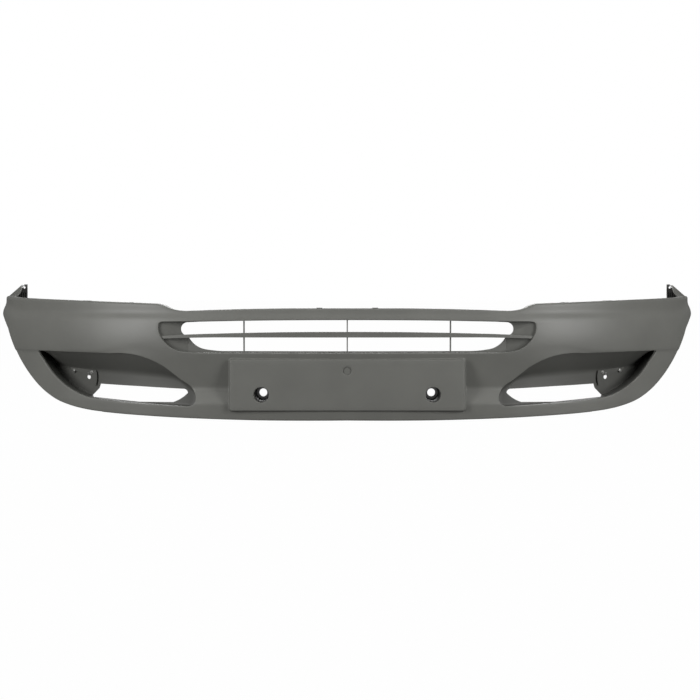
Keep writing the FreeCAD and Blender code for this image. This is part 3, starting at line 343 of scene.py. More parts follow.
def triangulated(outer, holes, grid, clearance):
    """Flat mesh between an outer loop and holes, with grid points that keep clear of them.

    Gives the points, the triangles, and for each loop where its points are.
    """
    loops = [outer] + holes
    edge_points = np.concatenate(loops)
    near = KDTree(len(edge_points))
    for number, point in enumerate(edge_points):
        near.insert((point[0], point[1], 0), number)
    near.balance()
    kept = inside(grid, outer)
    for hole in holes:
        kept &= ~inside(grid, hole)
    free = [point for point in grid[kept] if near.find((point[0], point[1], 0))[2] > clearance]
    source = np.concatenate([edge_points, np.array(free).reshape(-1, 2)])
    edges, starts, first = [], [], 0
    for loop in loops:
        count = len(loop)
        edges += [(first + k, first + (k + 1) % count) for k in range(count)]
        starts.append(first)
        first += count
    vectors = [Vector(point) for point in source]
    made = delaunay_2d_cdt(vectors, edges, [], INNER_FACES, SAME_POINT)
    points = np.array([tuple(point) for point in made[0]])
    place = {source_id: number for number, ids in enumerate(made[3]) for source_id in ids}
    triangles = np.array([face for face in made[2] if len(face) == 3])
    middles = points[triangles].mean(axis=1)
    solid = inside(middles, outer)
    for hole in holes:
        solid &= ~inside(middles, hole)
    where = [
        np.array([place[start + k] for k in range(len(loop))]) for start, loop in zip(starts, loops)
    ]
    return points, triangles[solid], where


ARC_STEPS = 6
LEAST_INNER_RADIUS = 0.2


def rim_profile(radius, reach, lean):
    """Steps (away, inward) round an edge, from the outer face over a flange to the inner face."""
    turn = math.pi / 2 - lean
    inner = np.maximum(radius - WALL, LEAST_INNER_RADIUS)
    angles = [turn * step / ARC_STEPS for step in range(ARC_STEPS + 1)]
    outer_arc = [(radius * np.sin(a), radius * (1 - np.cos(a))) for a in angles]
    inner_arc = [(inner * np.sin(a), WALL + inner * (1 - np.cos(a))) for a in angles]
    outer_reach = reach + np.maximum(WALL + inner - radius, 0)
    outer_end = (
        outer_arc[-1][0] + outer_reach * np.cos(turn),
        outer_arc[-1][1] + outer_reach * np.sin(turn),
    )
    inner_end = (inner_arc[-1][0] + reach * np.cos(turn), inner_arc[-1][1] + reach * np.sin(turn))
    return outer_arc + [outer_end, inner_end] + inner_arc[::-1]


class Shell:
    """Sheet with the thickness of the wall: an outer face, an inner face and rims between them."""

    def __init__(self, points, normals, triangles):
        self.outer = points
        self.normals = normals
        self.size = len(points)
        self.parts = [points, points - normals * WALL]
        self.count = 2 * self.size
        self.faces = [tuple(face) for face in triangles]
        self.faces += [tuple(face[::-1] + self.size) for face in triangles]

    def add(self, points):
        """More points; gives their numbers."""
        self.parts.append(points)
        self.count += len(points)
        return np.arange(self.count - len(points), self.count)

    def rim(self, chain, closed, radius, reach=0.0, lean=0.0):
        """Rounded edge along a chain of points that has the sheet on its left."""
        place, normal = self.outer[chain], self.normals[chain]
        if closed:
            along = np.roll(place, -1, axis=0) - np.roll(place, 1, axis=0)
        else:
            along = np.gradient(place, axis=0)
        away = np.cross(along, normal)
        away = away / np.linalg.norm(away, axis=1, keepdims=True)
        ones = np.ones((len(chain), 1))
        steps = rim_profile(*[np.reshape(value, (-1, 1)) * ones for value in (radius, reach, lean)])
        rings = [chain]
        rings += [self.add(place + away * out - normal * depth) for out, depth in steps[1:-1]]
        rings.append(chain + self.size)
        spans = len(chain) if closed else len(chain) - 1
        for ring, next_ring in zip(rings, rings[1:]):
            for k in range(spans):
                following = (k + 1) % len(chain)
                self.faces.append((ring[k], next_ring[k], next_ring[following], ring[following]))
        if not closed:
            for end in (0, -1):
                for k in range(len(rings) // 2 - 1):
                    opposite = len(rings) - 1 - k
                    corners = (rings[k], rings[k + 1], rings[opposite - 1], rings[opposite])
                    self.faces.append(tuple(ring[end] for ring in corners))

    def all_points(self):
        """Every point that the faces number."""
        return np.concatenate(self.parts)


def box_sweep(sections):
    """Closed mesh through sections of four corners each."""
    count = len(sections)
    faces = [(0, 1, 2, 3), tuple(4 * count - k for k in (1, 2, 3, 4))]
    for first in range(0, 4 * (count - 1), 4):
        for corner in range(4):
            near, near_following = first + corner, first + (corner + 1) % 4
            faces.append((near, near + 4, near_following + 4, near_following))
    return np.concatenate(sections), faces


def joined(*meshes):
    """Several (points, faces) as one."""
    points, faces, first = [], [], 0
    for part_points, part_faces in meshes:
        points.append(part_points)
        faces += [tuple(int(v) + first for v in face) for face in part_faces]
        first += len(part_points)
    return np.concatenate(points), faces


SHARP = math.radians(32)


def smooth_by_angle(mesh):
    """Smooth shading, with sharp edges where the faces turn by more than SHARP."""
    mesh.polygons.foreach_set("use_smooth", [True] * len(mesh.polygons))
    mesh.set_sharp_from_angle(angle=SHARP)


def new_mesh(name, points, faces, facing_front=False):
    """Smooth mesh in metres."""
    mesh = bpy.data.meshes.new(name)
    mesh.from_pydata((points * MM).tolist(), [], [tuple(int(v) for v in face) for face in faces])
    work = bmesh.new()
    work.from_mesh(mesh)
    bmesh.ops.recalc_face_normals(work, faces=work.faces)
    if facing_front and sum(face.normal.y * face.calc_area() for face in work.faces) > 0:
        bmesh.ops.reverse_faces(work, faces=work.faces)
    work.to_mesh(mesh)
    work.free()
    smooth_by_angle(mesh)
    return mesh


def new_piece(name, mesh, slot, *nodes):
    """A shown piece that stands for CAD nodes and has the material of its slot."""
    piece = bpy.data.objects.new(name, mesh)
    bpy.context.scene.collection.objects.link(piece)
    mesh.materials.clear()
    mesh.materials.append(MATERIALS[slot])
    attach(piece, "root")
    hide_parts(*nodes)
    return piece


# ---------------------------------------------------------------- materials

SPECULAR = 0.42
MOTTLING_SCALE, SPECKLE_SCALE = 9, 700
# Tones of the mottling, and the paler tone of the painted highlight on convex edges.
DARKER_TONE, PALER_TONE, EDGE_HIGHLIGHT_TONE = 0.94, 1.06, 1.7
TONE_START, TONE_END = 0.3, 0.7
# Pointiness at which the painted highlight on convex edges starts and is full, and its greatest
# share.
EDGE_HIGHLIGHT_START, EDGE_HIGHLIGHT_FULL, EDGE_HIGHLIGHT_MOST = 0.53, 0.62, 0.25
SHEEN_SPREAD = 0.06
GRAIN_STRENGTH, GRAIN_DEPTH = 0.28, 0.00006
CLOUD_SCALE, CLOUD_TONE, SCRATCH_SCALE = 160, 0.75, 1500
POLISH_BELOW, POLISH_ABOVE = 0.1, 0.12
SCRATCH_STRENGTH, SCRATCH_DEPTH = 0.3, 0.00002


def shaded(colour, factor):
    """The colour made darker or paler, with full opacity."""
    return (*[value * factor for value in colour], 1)


def plastic(name, colour, roughness, grain=0.9):
    """Grained moulded plastic with faint mottling and paler convex edges, a painted highlight;
    grain is in millimetres.
    """
    material = bpy.data.materials.new(name)
    material.use_nodes = True
    nodes, links = material.node_tree.nodes, material.node_tree.links
    shader = nodes["Principled BSDF"]
    shader.inputs["Specular IOR Level"].default_value = SPECULAR
    place = nodes.new("ShaderNodeTexCoord")

    mottling = nodes.new("ShaderNodeTexNoise")
    mottling.inputs["Scale"].default_value = MOTTLING_SCALE
    mottling.inputs["Detail"].default_value = 3
    speckle = nodes.new("ShaderNodeTexNoise")
    speckle.inputs["Scale"].default_value = SPECKLE_SCALE
    speckle.inputs["Detail"].default_value = 2
    grain_texture = nodes.new("ShaderNodeTexVoronoi")
    grain_texture.inputs["Scale"].default_value = 1 / (grain * MM)
    for texture in (mottling, speckle, grain_texture):
        links.new(place.outputs["Object"], texture.inputs["Vector"])

    tone = nodes.new("ShaderNodeValToRGB")
    tone.color_ramp.elements[0].position = TONE_START
    tone.color_ramp.elements[1].position = TONE_END
    tone.color_ramp.elements[0].color = shaded(colour, DARKER_TONE)
    tone.color_ramp.elements[1].color = shaded(colour, PALER_TONE)
    links.new(mottling.outputs["Fac"], tone.inputs["Fac"])

    # Convex edges, found by pointiness, are painted paler: a painted highlight.
    edge_highlight = nodes.new("ShaderNodeMapRange")
    edge_highlight.inputs["From Min"].default_value = EDGE_HIGHLIGHT_START
    edge_highlight.inputs["From Max"].default_value = EDGE_HIGHLIGHT_FULL
    edge_highlight.inputs["To Max"].default_value = EDGE_HIGHLIGHT_MOST
    edges = nodes.new("ShaderNodeNewGeometry")
    links.new(edges.outputs["Pointiness"], edge_highlight.inputs["Value"])
    paler = nodes.new("ShaderNodeMix")
    paler.data_type = "RGBA"
    paler.inputs["B"].default_value = shaded(colour, EDGE_HIGHLIGHT_TONE)
    links.new(edge_highlight.outputs["Result"], paler.inputs["Factor"])
    links.new(tone.outputs["Color"], paler.inputs["A"])
    links.new(paler.outputs["Result"], shader.inputs["Base Color"])

    sheen = nodes.new("ShaderNodeMapRange")
    sheen.inputs["To Min"].default_value = roughness - SHEEN_SPREAD
    sheen.inputs["To Max"].default_value = roughness + SHEEN_SPREAD
    links.new(speckle.outputs["Fac"], sheen.inputs["Value"])
    links.new(sheen.outputs["Result"], shader.inputs["Roughness"])

    bump = nodes.new("ShaderNodeBump")
    bump.inputs["Strength"].default_value = GRAIN_STRENGTH
    bump.inputs["Distance"].default_value = GRAIN_DEPTH
    links.new(grain_texture.outputs["Distance"], bump.inputs["Height"])
    links.new(bump.outputs["Normal"], shader.inputs["Normal"])
    return material


def plated_steel(name, colour, roughness):
    """Plated steel with fine scratches and cloudy plating."""
    material = bpy.data.materials.new(name)
    material.use_nodes = True
    nodes, links = material.node_tree.nodes, material.node_tree.links
    shader = nodes["Principled BSDF"]
    shader.inputs["Metallic"].default_value = 1
    place = nodes.new("ShaderNodeTexCoord")
    cloud = nodes.new("ShaderNodeTexNoise")
    cloud.inputs["Scale"].default_value = CLOUD_SCALE
    cloud.inputs["Detail"].default_value = 4
    scratches = nodes.new("ShaderNodeTexNoise")
    scratches.inputs["Scale"].default_value = SCRATCH_SCALE
    for texture in (cloud, scratches):
        links.new(place.outputs["Object"], texture.inputs["Vector"])
    tone = nodes.new("ShaderNodeValToRGB")
    tone.color_ramp.elements[0].color = shaded(colour, CLOUD_TONE)
    tone.color_ramp.elements[1].color = shaded(colour, 1)
    links.new(cloud.outputs["Fac"], tone.inputs["Fac"])
    links.new(tone.outputs["Color"], shader.inputs["Base Color"])
    polish = nodes.new("ShaderNodeMapRange")
    polish.inputs["To Min"].default_value = roughness - POLISH_BELOW
    polish.inputs["To Max"].default_value = roughness + POLISH_ABOVE
    links.new(cloud.outputs["Fac"], polish.inputs["Value"])
    links.new(polish.outputs["Result"], shader.inputs["Roughness"])
    bump = nodes.new("ShaderNodeBump")
    bump.inputs["Strength"].default_value = SCRATCH_STRENGTH
    bump.inputs["Distance"].default_value = SCRATCH_DEPTH
    links.new(scratches.outputs["Fac"], bump.inputs["Height"])
    links.new(bump.outputs["Normal"], shader.inputs["Normal"])
    return material


GREY = (0.128, 0.129, 0.118)
MATERIALS = {
    "moulded_grey": plastic("moulded_grey", GREY, 0.44),
    "plinth_grey": plastic("plinth_grey", [value * 0.97 for value in GREY], 0.52),
    "plug_grey": plastic("plug_grey", [value * 0.95 for value in GREY], 0.45, grain=0.5),
    "grille_grey": plastic("grille_grey", [value * 0.95 for value in GREY], 0.5),
    # The pockets' grey is the moulding grey darkened to 0.6: painted shade for the inside of the
    # recesses.
    "pocket_grey": plastic("pocket_grey", [value * 0.6 for value in GREY], 0.55),
    "moulded_dark": plastic("moulded_dark", (0.055, 0.055, 0.053), 0.42, grain=0.6),
    "zinc_steel": plated_steel("zinc_steel", (0.62, 0.62, 0.6), 0.38),
    "spring_steel": plated_steel("spring_steel", (0.4, 0.4, 0.4), 0.45),
    "bush_steel": plated_steel("bush_steel", (0.55, 0.55, 0.55), 0.35),
}

# ---------------------------------------------------------------- bumper skin

EDGE_SPACING = 4.0
COLUMN_SPACING = 8.0
GRID_LOW, GRID_HIGH, GRID_CLEARANCE = -70.0, 250.0, 2.6
ROW_LEAST, ROW_MOST, ROW_GROWTH = 1.8, 7.0, 0.35
TIP_POINTS = 6
GRILLE_SOFTENING, LAMP_SOFTENING = 5, 4
TOP_RADIUS, TOP_FLANGE = 6.0, 25.0
HEM_RADIUS, HEM_DEPTH = 3.2, 14.0
TIP_RADIUS = 0.8
OPENING_RADIUS = 1.5
SHOULDER_START, SHOULDER_FULL = 108.0, 50.0
SHOULDER_LENGTH, SHOULDER_LEAN = 48.0, math.radians(42)
SHELF_DROP, SHELF_STEPS, SHELF_END = 0.4, 20, 1.0
SHELF_OUTER, SHELF_INNER = -10.0, -33.0
WELL_X, WELL_RADIUS, WELL_WALL, WELL_CLEARANCE = 214.0, 19.0, 3.0, 1.0


def skin_grid():
    """Points all over the skin, closer together near the corners of its section."""
    heights = [GRID_LOW]
    while heights[-1] < GRID_HIGH:
        distance = min(abs(heights[-1] - corner) for corner in SECTION_CORNERS)
        heights.append(heights[-1] + min(ROW_MOST, ROW_LEAST + ROW_GROWTH * distance))
    runs = np.arange(-TIP_RUN, TIP_RUN, COLUMN_SPACING) + COLUMN_SPACING / 2
    return np.array([(run, height) for height in heights for run in runs])


def trimmed_edge(run, front, wing, inset):
    """Points along a trimmed edge, moved into the skin by an inset."""
    height = edge_height(run, front, wing)
    slope = np.gradient(height, run)
    return np.stack([run, height + inset * np.hypot(1, slope)], axis=1)


def skin_outline():
    """Outer loop of the skin in four parts: bottom edge, right tip, top edge and left tip."""
    end = TIP_RUN - TIP_RADIUS
    run = np.linspace(-end, end, round(2 * end / EDGE_SPACING) + 1)
    bottom = trimmed_edge(run, BOTTOM_EDGE, BOTTOM_EDGE_WING, HEM_RADIUS)
    top = trimmed_edge(run, TOP_EDGE, TOP_EDGE_WING, -TOP_RADIUS)[::-1]
    shares = np.linspace(0, 1, TIP_POINTS)[1:-1, None]
    right_tip = bottom[-1] + (top[0] - bottom[-1]) * shares
    left_tip = top[-1] + (bottom[0] - top[-1]) * shares
    return bottom, right_tip, top, left_tip


def skin_holes():
    """Loops of (run, height) round the openings of the skin, clear of their rounded edges."""
    half_grille = traced(GRILLE_OPENING, EDGE_SPACING)
    whole_grille = np.concatenate([half_grille, mirrored(half_grille)[1:-1]])
    grille = clockwise(softened(whole_grille, GRILLE_SOFTENING))
    lamp = clockwise(softened(traced(LAMP_OPENING, EDGE_SPACING)[:-1], LAMP_SOFTENING))
    well = circle(WELL_X, 0, WELL_RADIUS + WELL_WALL + WELL_CLEARANCE)
    fronts = [grille, lamp, mirrored(lamp), well, mirrored(well)]
    return [on_run(grown(loop, OPENING_RADIUS)) for loop in fronts]


def add_outer_rims(shell, ring, parts):
    """Rounded edges and return flanges along the four parts of the outer loop."""
    starts = np.cumsum([len(part) for part in parts])[:-1]
    bottom_chain, right_chain, top_chain, left_chain = np.split(ring, starts)
    right_chain = np.concatenate([bottom_chain[-1:], right_chain, top_chain[:1]])
    left_chain = np.concatenate([top_chain[-1:], left_chain, bottom_chain[:1]])
    shell.rim(bottom_chain, False, HEM_RADIUS, HEM_DEPTH - HEM_RADIUS)
    shell.rim(right_chain, False, TIP_RADIUS)
    shell.rim(left_chain, False, TIP_RADIUS)
    from_tip = TIP_RUN - np.abs(parts[2][:, 0])
    raised = smooth_step((SHOULDER_START - from_tip) / (SHOULDER_START - SHOULDER_FULL))
    flange = TOP_FLANGE - TOP_RADIUS
    flange = flange + (SHOULDER_LENGTH - flange) * raised
    shell.rim(top_chain, False, TOP_RADIUS, flange, SHOULDER_LEAN * raised)


def tip_shelves():
    """Shelves behind the top edge near the wing tips."""
    shelves = []
    for side in (-1, 1):
        shelf_run = side * np.linspace(TIP_RUN - SHOULDER_START, TIP_RUN - SHELF_END, SHELF_STEPS)
        level = edge_height(shelf_run, TOP_EDGE, TOP_EDGE_WING) - SHELF_DROP
        corners = [(SHELF_OUTER, 0), (SHELF_INNER, 0), (SHELF_INNER, -WALL), (SHELF_OUTER, -WALL)]
        lines = [beside_plan(shelf_run, offset, level + drop) for offset, drop in corners]
        shelves.append(box_sweep([np.array(section) for section in zip(*lines)]))
    return shelves


def skin_piece():
    """The moulded skin with its openings, rounded edges and return flanges."""
    parts = skin_outline()
    holes = skin_holes()
    flat, triangles, where = triangulated(
        np.concatenate(parts), holes, skin_grid(), GRID_CLEARANCE
    )
    points = on_skin(flat[:, 0], flat[:, 1])
    shell = Shell(points, skin_normal(flat[:, 0], flat[:, 1]), triangles)
    for chain in where[1:]:
        shell.rim(chain, True, OPENING_RADIUS)
    add_outer_rims(shell, where[0], parts)
    mesh = new_mesh("skin", *joined((shell.all_points(), shell.faces), *tip_shelves()))
    return new_piece("skin", mesh, "moulded_grey", "bumper_skin")


skin_piece()

# ---------------------------------------------------------------- number plate plinth

PLINTH_FACE_Y = -93.0
PLINTH_HALF, PLINTH_LOW, PLINTH_HIGH = 292.0, -40.0, 88.0
PLINTH_CORNER, PLINTH_EDGE = 6.0, 2.5
PLINTH_DRAFT = 0.1
PLINTH_FILLET, FILLET_SHARE, FILLET_SINK = 6.0, 0.45, 0.35
PLINTH_SHEET = 2.4
PLINTH_GRID_X, PLINTH_GRID_Z = np.arange(-288, 289, 8.0), np.arange(-36, 86, 8.0)
PLINTH_SPACING, PLINTH_CLEARANCE = 6.0, 3.0
QUARTER_STEPS, WALL_STEPS, FILLET_STEPS = 8, 6, 7
EDGE_TURNS, MOUTH_TURNS = np.radians([20, 40, 60, 75, 85]), np.radians([20, 40, 60, 75, 90])
MOUTH_RADIUS = 1.6
WELL_STEPS = 56
WELL_FLOOR, SLEEVE_RADIUS = 5.0, 13.0
WELL_RINGS_Y = (-60.0, -30.0)
LINING, LINING_GAP = 1.0, 0.5
PLUG_HEIGHT, PLUG_RADIUS, PLUG_SHANK, PLUG_RECESS, PLUG_RIM = 59.7, 10.0, 6.0, 2.0, 1.5
DIMPLE_ROUND, DIMPLE_CHAMFER = 0.9, 0.3


def rounded_rectangle(half_width, low, high, radius, spacing):
    """Anticlockwise outline with round corners, and its outward directions."""
    points, outward = [], []
    middle = (low + high) / 2
    half_height = (high - low) / 2
    for start, across, up in ((-90, 1, -1), (0, 1, 1), (90, -1, 1), (180, -1, -1)):
        for step in range(QUARTER_STEPS + 1):
            turn = math.radians(start + 90 * step / QUARTER_STEPS)
            direction = np.array([math.cos(turn), math.sin(turn)])
            centre_height = middle + up * (half_height - radius)
            centre = np.array([across * (half_width - radius), centre_height])
            points.append(centre + radius * direction)
            outward.append(direction)
        side_length = 2 * (half_height if across == -up else half_width) - 2 * radius
        next_direction = outward[-1]
        along = np.array([-next_direction[1], next_direction[0]])
        steps = round(side_length / spacing)
        for step in range(1, steps):
            points.append(points[-1] + along * side_length / steps)
            outward.append(next_direction)
    return np.array(points), np.array(outward)


def ring_faces(rings):
    """Quads between closed rings of point numbers."""
    faces = []
    for ring, next_ring in zip(rings, rings[1:]):
        for k in range(len(ring)):
            following = (k + 1) % len(ring)
            faces.append((ring[k], ring[following], next_ring[following], next_ring[k]))
    return faces


class Relief:
    """Flat face with rings of points in front of it or behind it."""

    def __init__(self, flat, triangles, y):
        self.points = [np.stack([flat[:, 0], np.full(len(flat), y), flat[:, 1]], axis=1)]
        self.faces = [tuple(face) for face in triangles]
        self.count = len(flat)

    def ring(self, place, y):
        """A ring of points at a depth; gives their numbers."""
        self.points.append(np.stack([place[:, 0], y + 0 * place[:, 0], place[:, 1]], axis=1))
        self.count += len(place)
        return np.arange(self.count - len(place), self.count)

    def hole(self, chain, loop, centre, loop_radius, steps):
        """Rings of (radius, y) down a round hole from the loop at its mouth."""
        rings = [chain]
        for radius, y in steps:
            rings.append(self.ring(centre + (loop - centre) * radius / loop_radius, y))
        self.faces += ring_faces(rings)


def add_plinth_walls(relief, chain, edge, outward):
    """Rounded edge of the face, drafted walls and the fillet that runs into the skin."""
    foot = edge + outward * PLINTH_EDGE
    wall_height = skin_y(foot[:, 0], foot[:, 1]) - PLINTH_FACE_Y
    fillet = np.minimum(PLINTH_FILLET, FILLET_SHARE * wall_height)
    rings = [chain]
    for turn in EDGE_TURNS:
        place = edge + outward * PLINTH_EDGE * math.sin(turn)
        rings.append(relief.ring(place, PLINTH_FACE_Y + PLINTH_EDGE * (1 - math.cos(turn))))
    wall_out = PLINTH_EDGE + PLINTH_DRAFT * (wall_height - fillet)
    for share in np.linspace(0, 1, WALL_STEPS)[1:]:
        out = PLINTH_EDGE + (wall_out - PLINTH_EDGE) * share
        depth = PLINTH_EDGE + (wall_height - fillet - PLINTH_EDGE) * share
        rings.append(relief.ring(edge + outward * out[:, None], PLINTH_FACE_Y + depth))
    last = edge + outward * (wall_out + fillet)[:, None]
    last_depth = skin_y(last[:, 0], last[:, 1]) - PLINTH_FACE_Y + FILLET_SINK
    for share in np.linspace(0, 1, FILLET_STEPS)[1:]:
        out = wall_out + fillet * share**2
        start = (wall_height - fillet) * (1 - share) ** 2
        depth = start + 2 * share * (1 - share) * wall_height + last_depth * share**2
        rings.append(relief.ring(edge + outward * out[:, None], PLINTH_FACE_Y + depth))
    relief.faces += ring_faces(rings)


def well_steps():
    """Rings (radius, y) of a bolt well, from its rounded mouth to the bolt sleeve."""
    mouth = []
    for turn in MOUTH_TURNS:
        depth = MOUTH_RADIUS * (1 - math.cos(turn))
        mouth.append((WELL_RADIUS + MOUTH_RADIUS * (1 - math.sin(turn)), PLINTH_FACE_Y + depth))
    bore = [(WELL_RADIUS, y) for y in (*WELL_RINGS_Y, -WELL_FLOOR)]
    return mouth + bore + [(SLEEVE_RADIUS, -WELL_FLOOR)]


def plinth_piece():
    """Number plate plinth: flat face, rounded edges, walls that flow into the skin, bolt wells."""
    edge, outward = rounded_rectangle(
        PLINTH_HALF - PLINTH_EDGE,
        PLINTH_LOW + PLINTH_EDGE,
        PLINTH_HIGH - PLINTH_EDGE,
        PLINTH_CORNER - PLINTH_EDGE,
        PLINTH_SPACING,
    )
    mouth_radius, dimple_radius = WELL_RADIUS + MOUTH_RADIUS, PLUG_RADIUS + DIMPLE_ROUND
    mouth = circle(WELL_X, 0, mouth_radius, WELL_STEPS)
    dimple = circle(0, PLUG_HEIGHT, dimple_radius)
    grid_x, grid_z = np.meshgrid(PLINTH_GRID_X, PLINTH_GRID_Z)
    grid = np.stack([grid_x.ravel(), grid_z.ravel()], axis=1)
    holes = [mouth, mirrored(mouth), dimple]
    flat, triangles, where = triangulated(edge, holes, grid, PLINTH_CLEARANCE)

    relief = Relief(flat, triangles, PLINTH_FACE_Y)
    add_plinth_walls(relief, where[0], edge, outward)
    relief.hole(where[1], mouth, np.array([WELL_X, 0]), mouth_radius, well_steps())
    relief.hole(where[2], mirrored(mouth), np.array([-WELL_X, 0]), mouth_radius, well_steps())
    seat_y = PLINTH_FACE_Y + PLUG_RECESS + PLUG_RIM
    dimple_steps = [
        (PLUG_RADIUS + DIMPLE_CHAMFER, PLINTH_FACE_Y + DIMPLE_CHAMFER),
        (PLUG_RADIUS, PLINTH_FACE_Y + DIMPLE_ROUND),
        (PLUG_RADIUS, seat_y),
        (PLUG_SHANK, seat_y),
    ]
    relief.hole(where[3], dimple, np.array([0, PLUG_HEIGHT]), dimple_radius, dimple_steps)

    mesh = new_mesh("plinth", np.concatenate(relief.points), relief.faces, facing_front=True)
    piece = new_piece("plinth", mesh, "plinth_grey", "plate_plinth")
    thick = piece.modifiers.new("sheet", "SOLIDIFY")
    thick.thickness = PLINTH_SHEET * MM
    thick.offset = -1
    return piece


def seat_rings():
    """Rear faces of the bolt wells, which bear on the crossmember."""
    meshes = []
    outside, lining = WELL_RADIUS + WELL_WALL, WELL_RADIUS + LINING
    lining_end, front_end = -WELL_FLOOR + LINING_GAP, WELL_RINGS_Y[0]
    profile = [
        (SLEEVE_RADIUS, lining_end),
        (SLEEVE_RADIUS, 0),
        (outside, 0),
        (outside, front_end),
        (lining, front_end),
        (lining, lining_end),
    ]
    for side in (-1, 1):
        rings = [circle(side * WELL_X, 0, radius, WELL_STEPS) for radius, _ in profile]
        points = [
            np.stack([ring[:, 0], np.full(len(ring), y), ring[:, 1]], axis=1)
            for ring, (_, y) in zip(rings, profile)
        ]
        numbers = [np.arange(WELL_STEPS) + WELL_STEPS * k for k in range(len(profile))]
        meshes.append((np.concatenate(points), ring_faces(numbers + numbers[:1])))
    mesh = new_mesh("plinth_wells", *joined(*meshes))
    return new_piece("plinth_wells", mesh, "plinth_grey", "plate_plinth")


plinth_piece()
seat_rings()

# ---------------------------------------------------------------- lamp pockets

# Stations of the right-hand pocket: x, depth behind the plan curve, top at the back wall.
POCKET_STATIONS = [
    (379, 33, -9),
    (384, 34, 0),
    (402, 35, 16),
    (430, 37, 38),
    (458, 39, 44),
    (500, 43, 47),
    (560, 51, 50),
    (630, 64, 52),
    (670, 72, 53),
    (708, 78, 54),
    (744, 86, 57),
    (777, 96, 66),
    (816, 101, 102),
]
POCKET_MARGIN = 1.0
END_REACH = 3.0
BACK_TOP_RADIUS, BACK_LOW_RADIUS = 9.0, 7.0
LEAST_RISE, LEAST_MARGIN, POCKET_GAP = 0.5, 0.02, 0.4
POCKET_COLUMNS, POCKET_CORNER_STEPS, POCKET_SPACING = 96, 7, 3.0
CORNER_SHARE = 0.45
FLANGE_WIDTH, FLANGE_SPACING, FLANGE_SOFTENING = 16.0, 6.0, 3
HEM_CLEARANCE = -43.5
CUT_NEAR, CUT_FAR, CUT_SPACING = -50.0, 160.0, 5.0
BRACKET_SLOT, SLOT_END_STEPS = (673.0, 34.0, 17.0, 12.0), 13


def eased(rows, x):
    """Smooth curve through rows of (x, value)."""
    places, values = columns(rows)
    slopes = np.gradient(values, places)
    span = np.clip(np.searchsorted(places, x) - 1, 0, len(places) - 2)
    width = places[span + 1] - places[span]
    t = (x - places[span]) / width
    return (
        values[span] * (1 + 2 * t) * (1 - t) ** 2
        + values[span + 1] * t**2 * (3 - 2 * t)
        + slopes[span] * width * t * (1 - t) ** 2
        - slopes[span + 1] * width * t**2 * (1 - t)
    )


def rounded_path(corners, radii, steps):
    """Open path of straight stretches with rounded corners."""
    points = [corners[0]]
    for before, corner, after, radius in zip(corners, corners[1:], corners[2:], radii):
        to_before, to_after = before - corner, after - corner
        limit = CORNER_SHARE * min(np.linalg.norm(to_before), np.linalg.norm(to_after))
        cut = min(radius, limit)
        start = corner + to_before / np.linalg.norm(to_before) * cut
        end = corner + to_after / np.linalg.norm(to_after) * cut
        for share in np.linspace(0, 1, steps):
            from_start = start * (1 - share) ** 2
            points.append(from_start + 2 * corner * share * (1 - share) + end * share**2)
    points.append(corners[-1])
    return np.array(points)


def pocket_sheet():
    """Soffit, back wall and floor of the right-hand pocket, as rows of points."""
    outline = traced(LAMP_OPENING, POCKET_SPACING)[:-1]
    left_end = np.argmin(outline[:, 0])
    upper, lower = outline[: left_end + 1][::-1], outline[left_end:]
    first, last = outline[:, 0].min() - END_REACH, outline[:, 0].max() + END_REACH
    shares = (1 - np.cos(np.linspace(0, math.pi, POCKET_COLUMNS))) / 2
    rows = []
    for x in first + (last - first) * shares:
        from_end = min(x - first, last - x) / END_REACH
        margin = POCKET_MARGIN * min(1, from_end + LEAST_MARGIN)
        top = np.interp(x, *upper.T) + margin
        floor = np.interp(x, *lower.T) - margin
        depth = eased([row[:2] for row in POCKET_STATIONS], x)
        back_top = eased([(row[0], row[2]) for row in POCKET_STATIONS], x)
        back_top = max(min(back_top, top - LEAST_RISE), floor + LEAST_RISE)
        back_y = plan_at(run_at(np.array([x]), np.array([0.0])))[1][0] + depth
        skin = skin_y(np.array([x, x]), np.array([top, floor]))
        front = skin + WALL + POCKET_GAP
        corners = [(front[0], top), (back_y, back_top), (back_y, floor), (front[1], floor)]
        corners = np.array(corners)
        path = rounded_path(corners, (BACK_TOP_RADIUS, BACK_LOW_RADIUS), POCKET_CORNER_STEPS)
        rows.append((x, path))
    return rows


def pocket_mesh():
    """Open sheet of the right-hand pocket without its air slot."""
    rows = pocket_sheet()
    width = len(rows[0][1])
    points = np.array([(x, y, z) for x, path in rows for y, z in path])
    faces = []
    for row in range(len(rows) - 1):
        for k in range(width - 1):
            start = row * width + k
            faces.append((start, start + 1, start + width + 1, start + width))
    return points, faces


def flange_ring():
    """Fixing flange behind the skin, round the right-hand opening."""
    loop = clockwise(softened(traced(LAMP_OPENING, FLANGE_SPACING)[:-1], FLANGE_SOFTENING))
    inner, outer = on_run(loop), on_run(grown(loop, FLANGE_WIDTH))
    outer[:, 1] = np.maximum(outer[:, 1], HEM_CLEARANCE)
    sections = []
    for ring, depth in ((inner, WALL), (outer, WALL), (outer, 2 * WALL), (inner, 2 * WALL)):
        normal = skin_normal(ring[:, 0], ring[:, 1])
        sections.append(on_skin(ring[:, 0], ring[:, 1]) - normal * depth)
    count = len(loop)
    numbers = [np.arange(count) + count * k for k in range(4)]
    return np.concatenate(sections), ring_faces(numbers + numbers[:1])


def prism(outline):
    """Closed prism of an outline seen from the front, through the whole pocket."""
    loop = clockwise(traced(outline, CUT_SPACING)[:-1])
    count = len(loop)
    ends = []
    for y in (CUT_NEAR, CUT_FAR):
        ends.append(np.stack([loop[:, 0], np.full(count, y), loop[:, 1]], axis=1))
    faces = ring_faces([np.arange(count), np.arange(count) + count])
    faces += [tuple(range(count)), tuple(range(2 * count - 1, count - 1, -1))]
    return np.concatenate(ends), faces


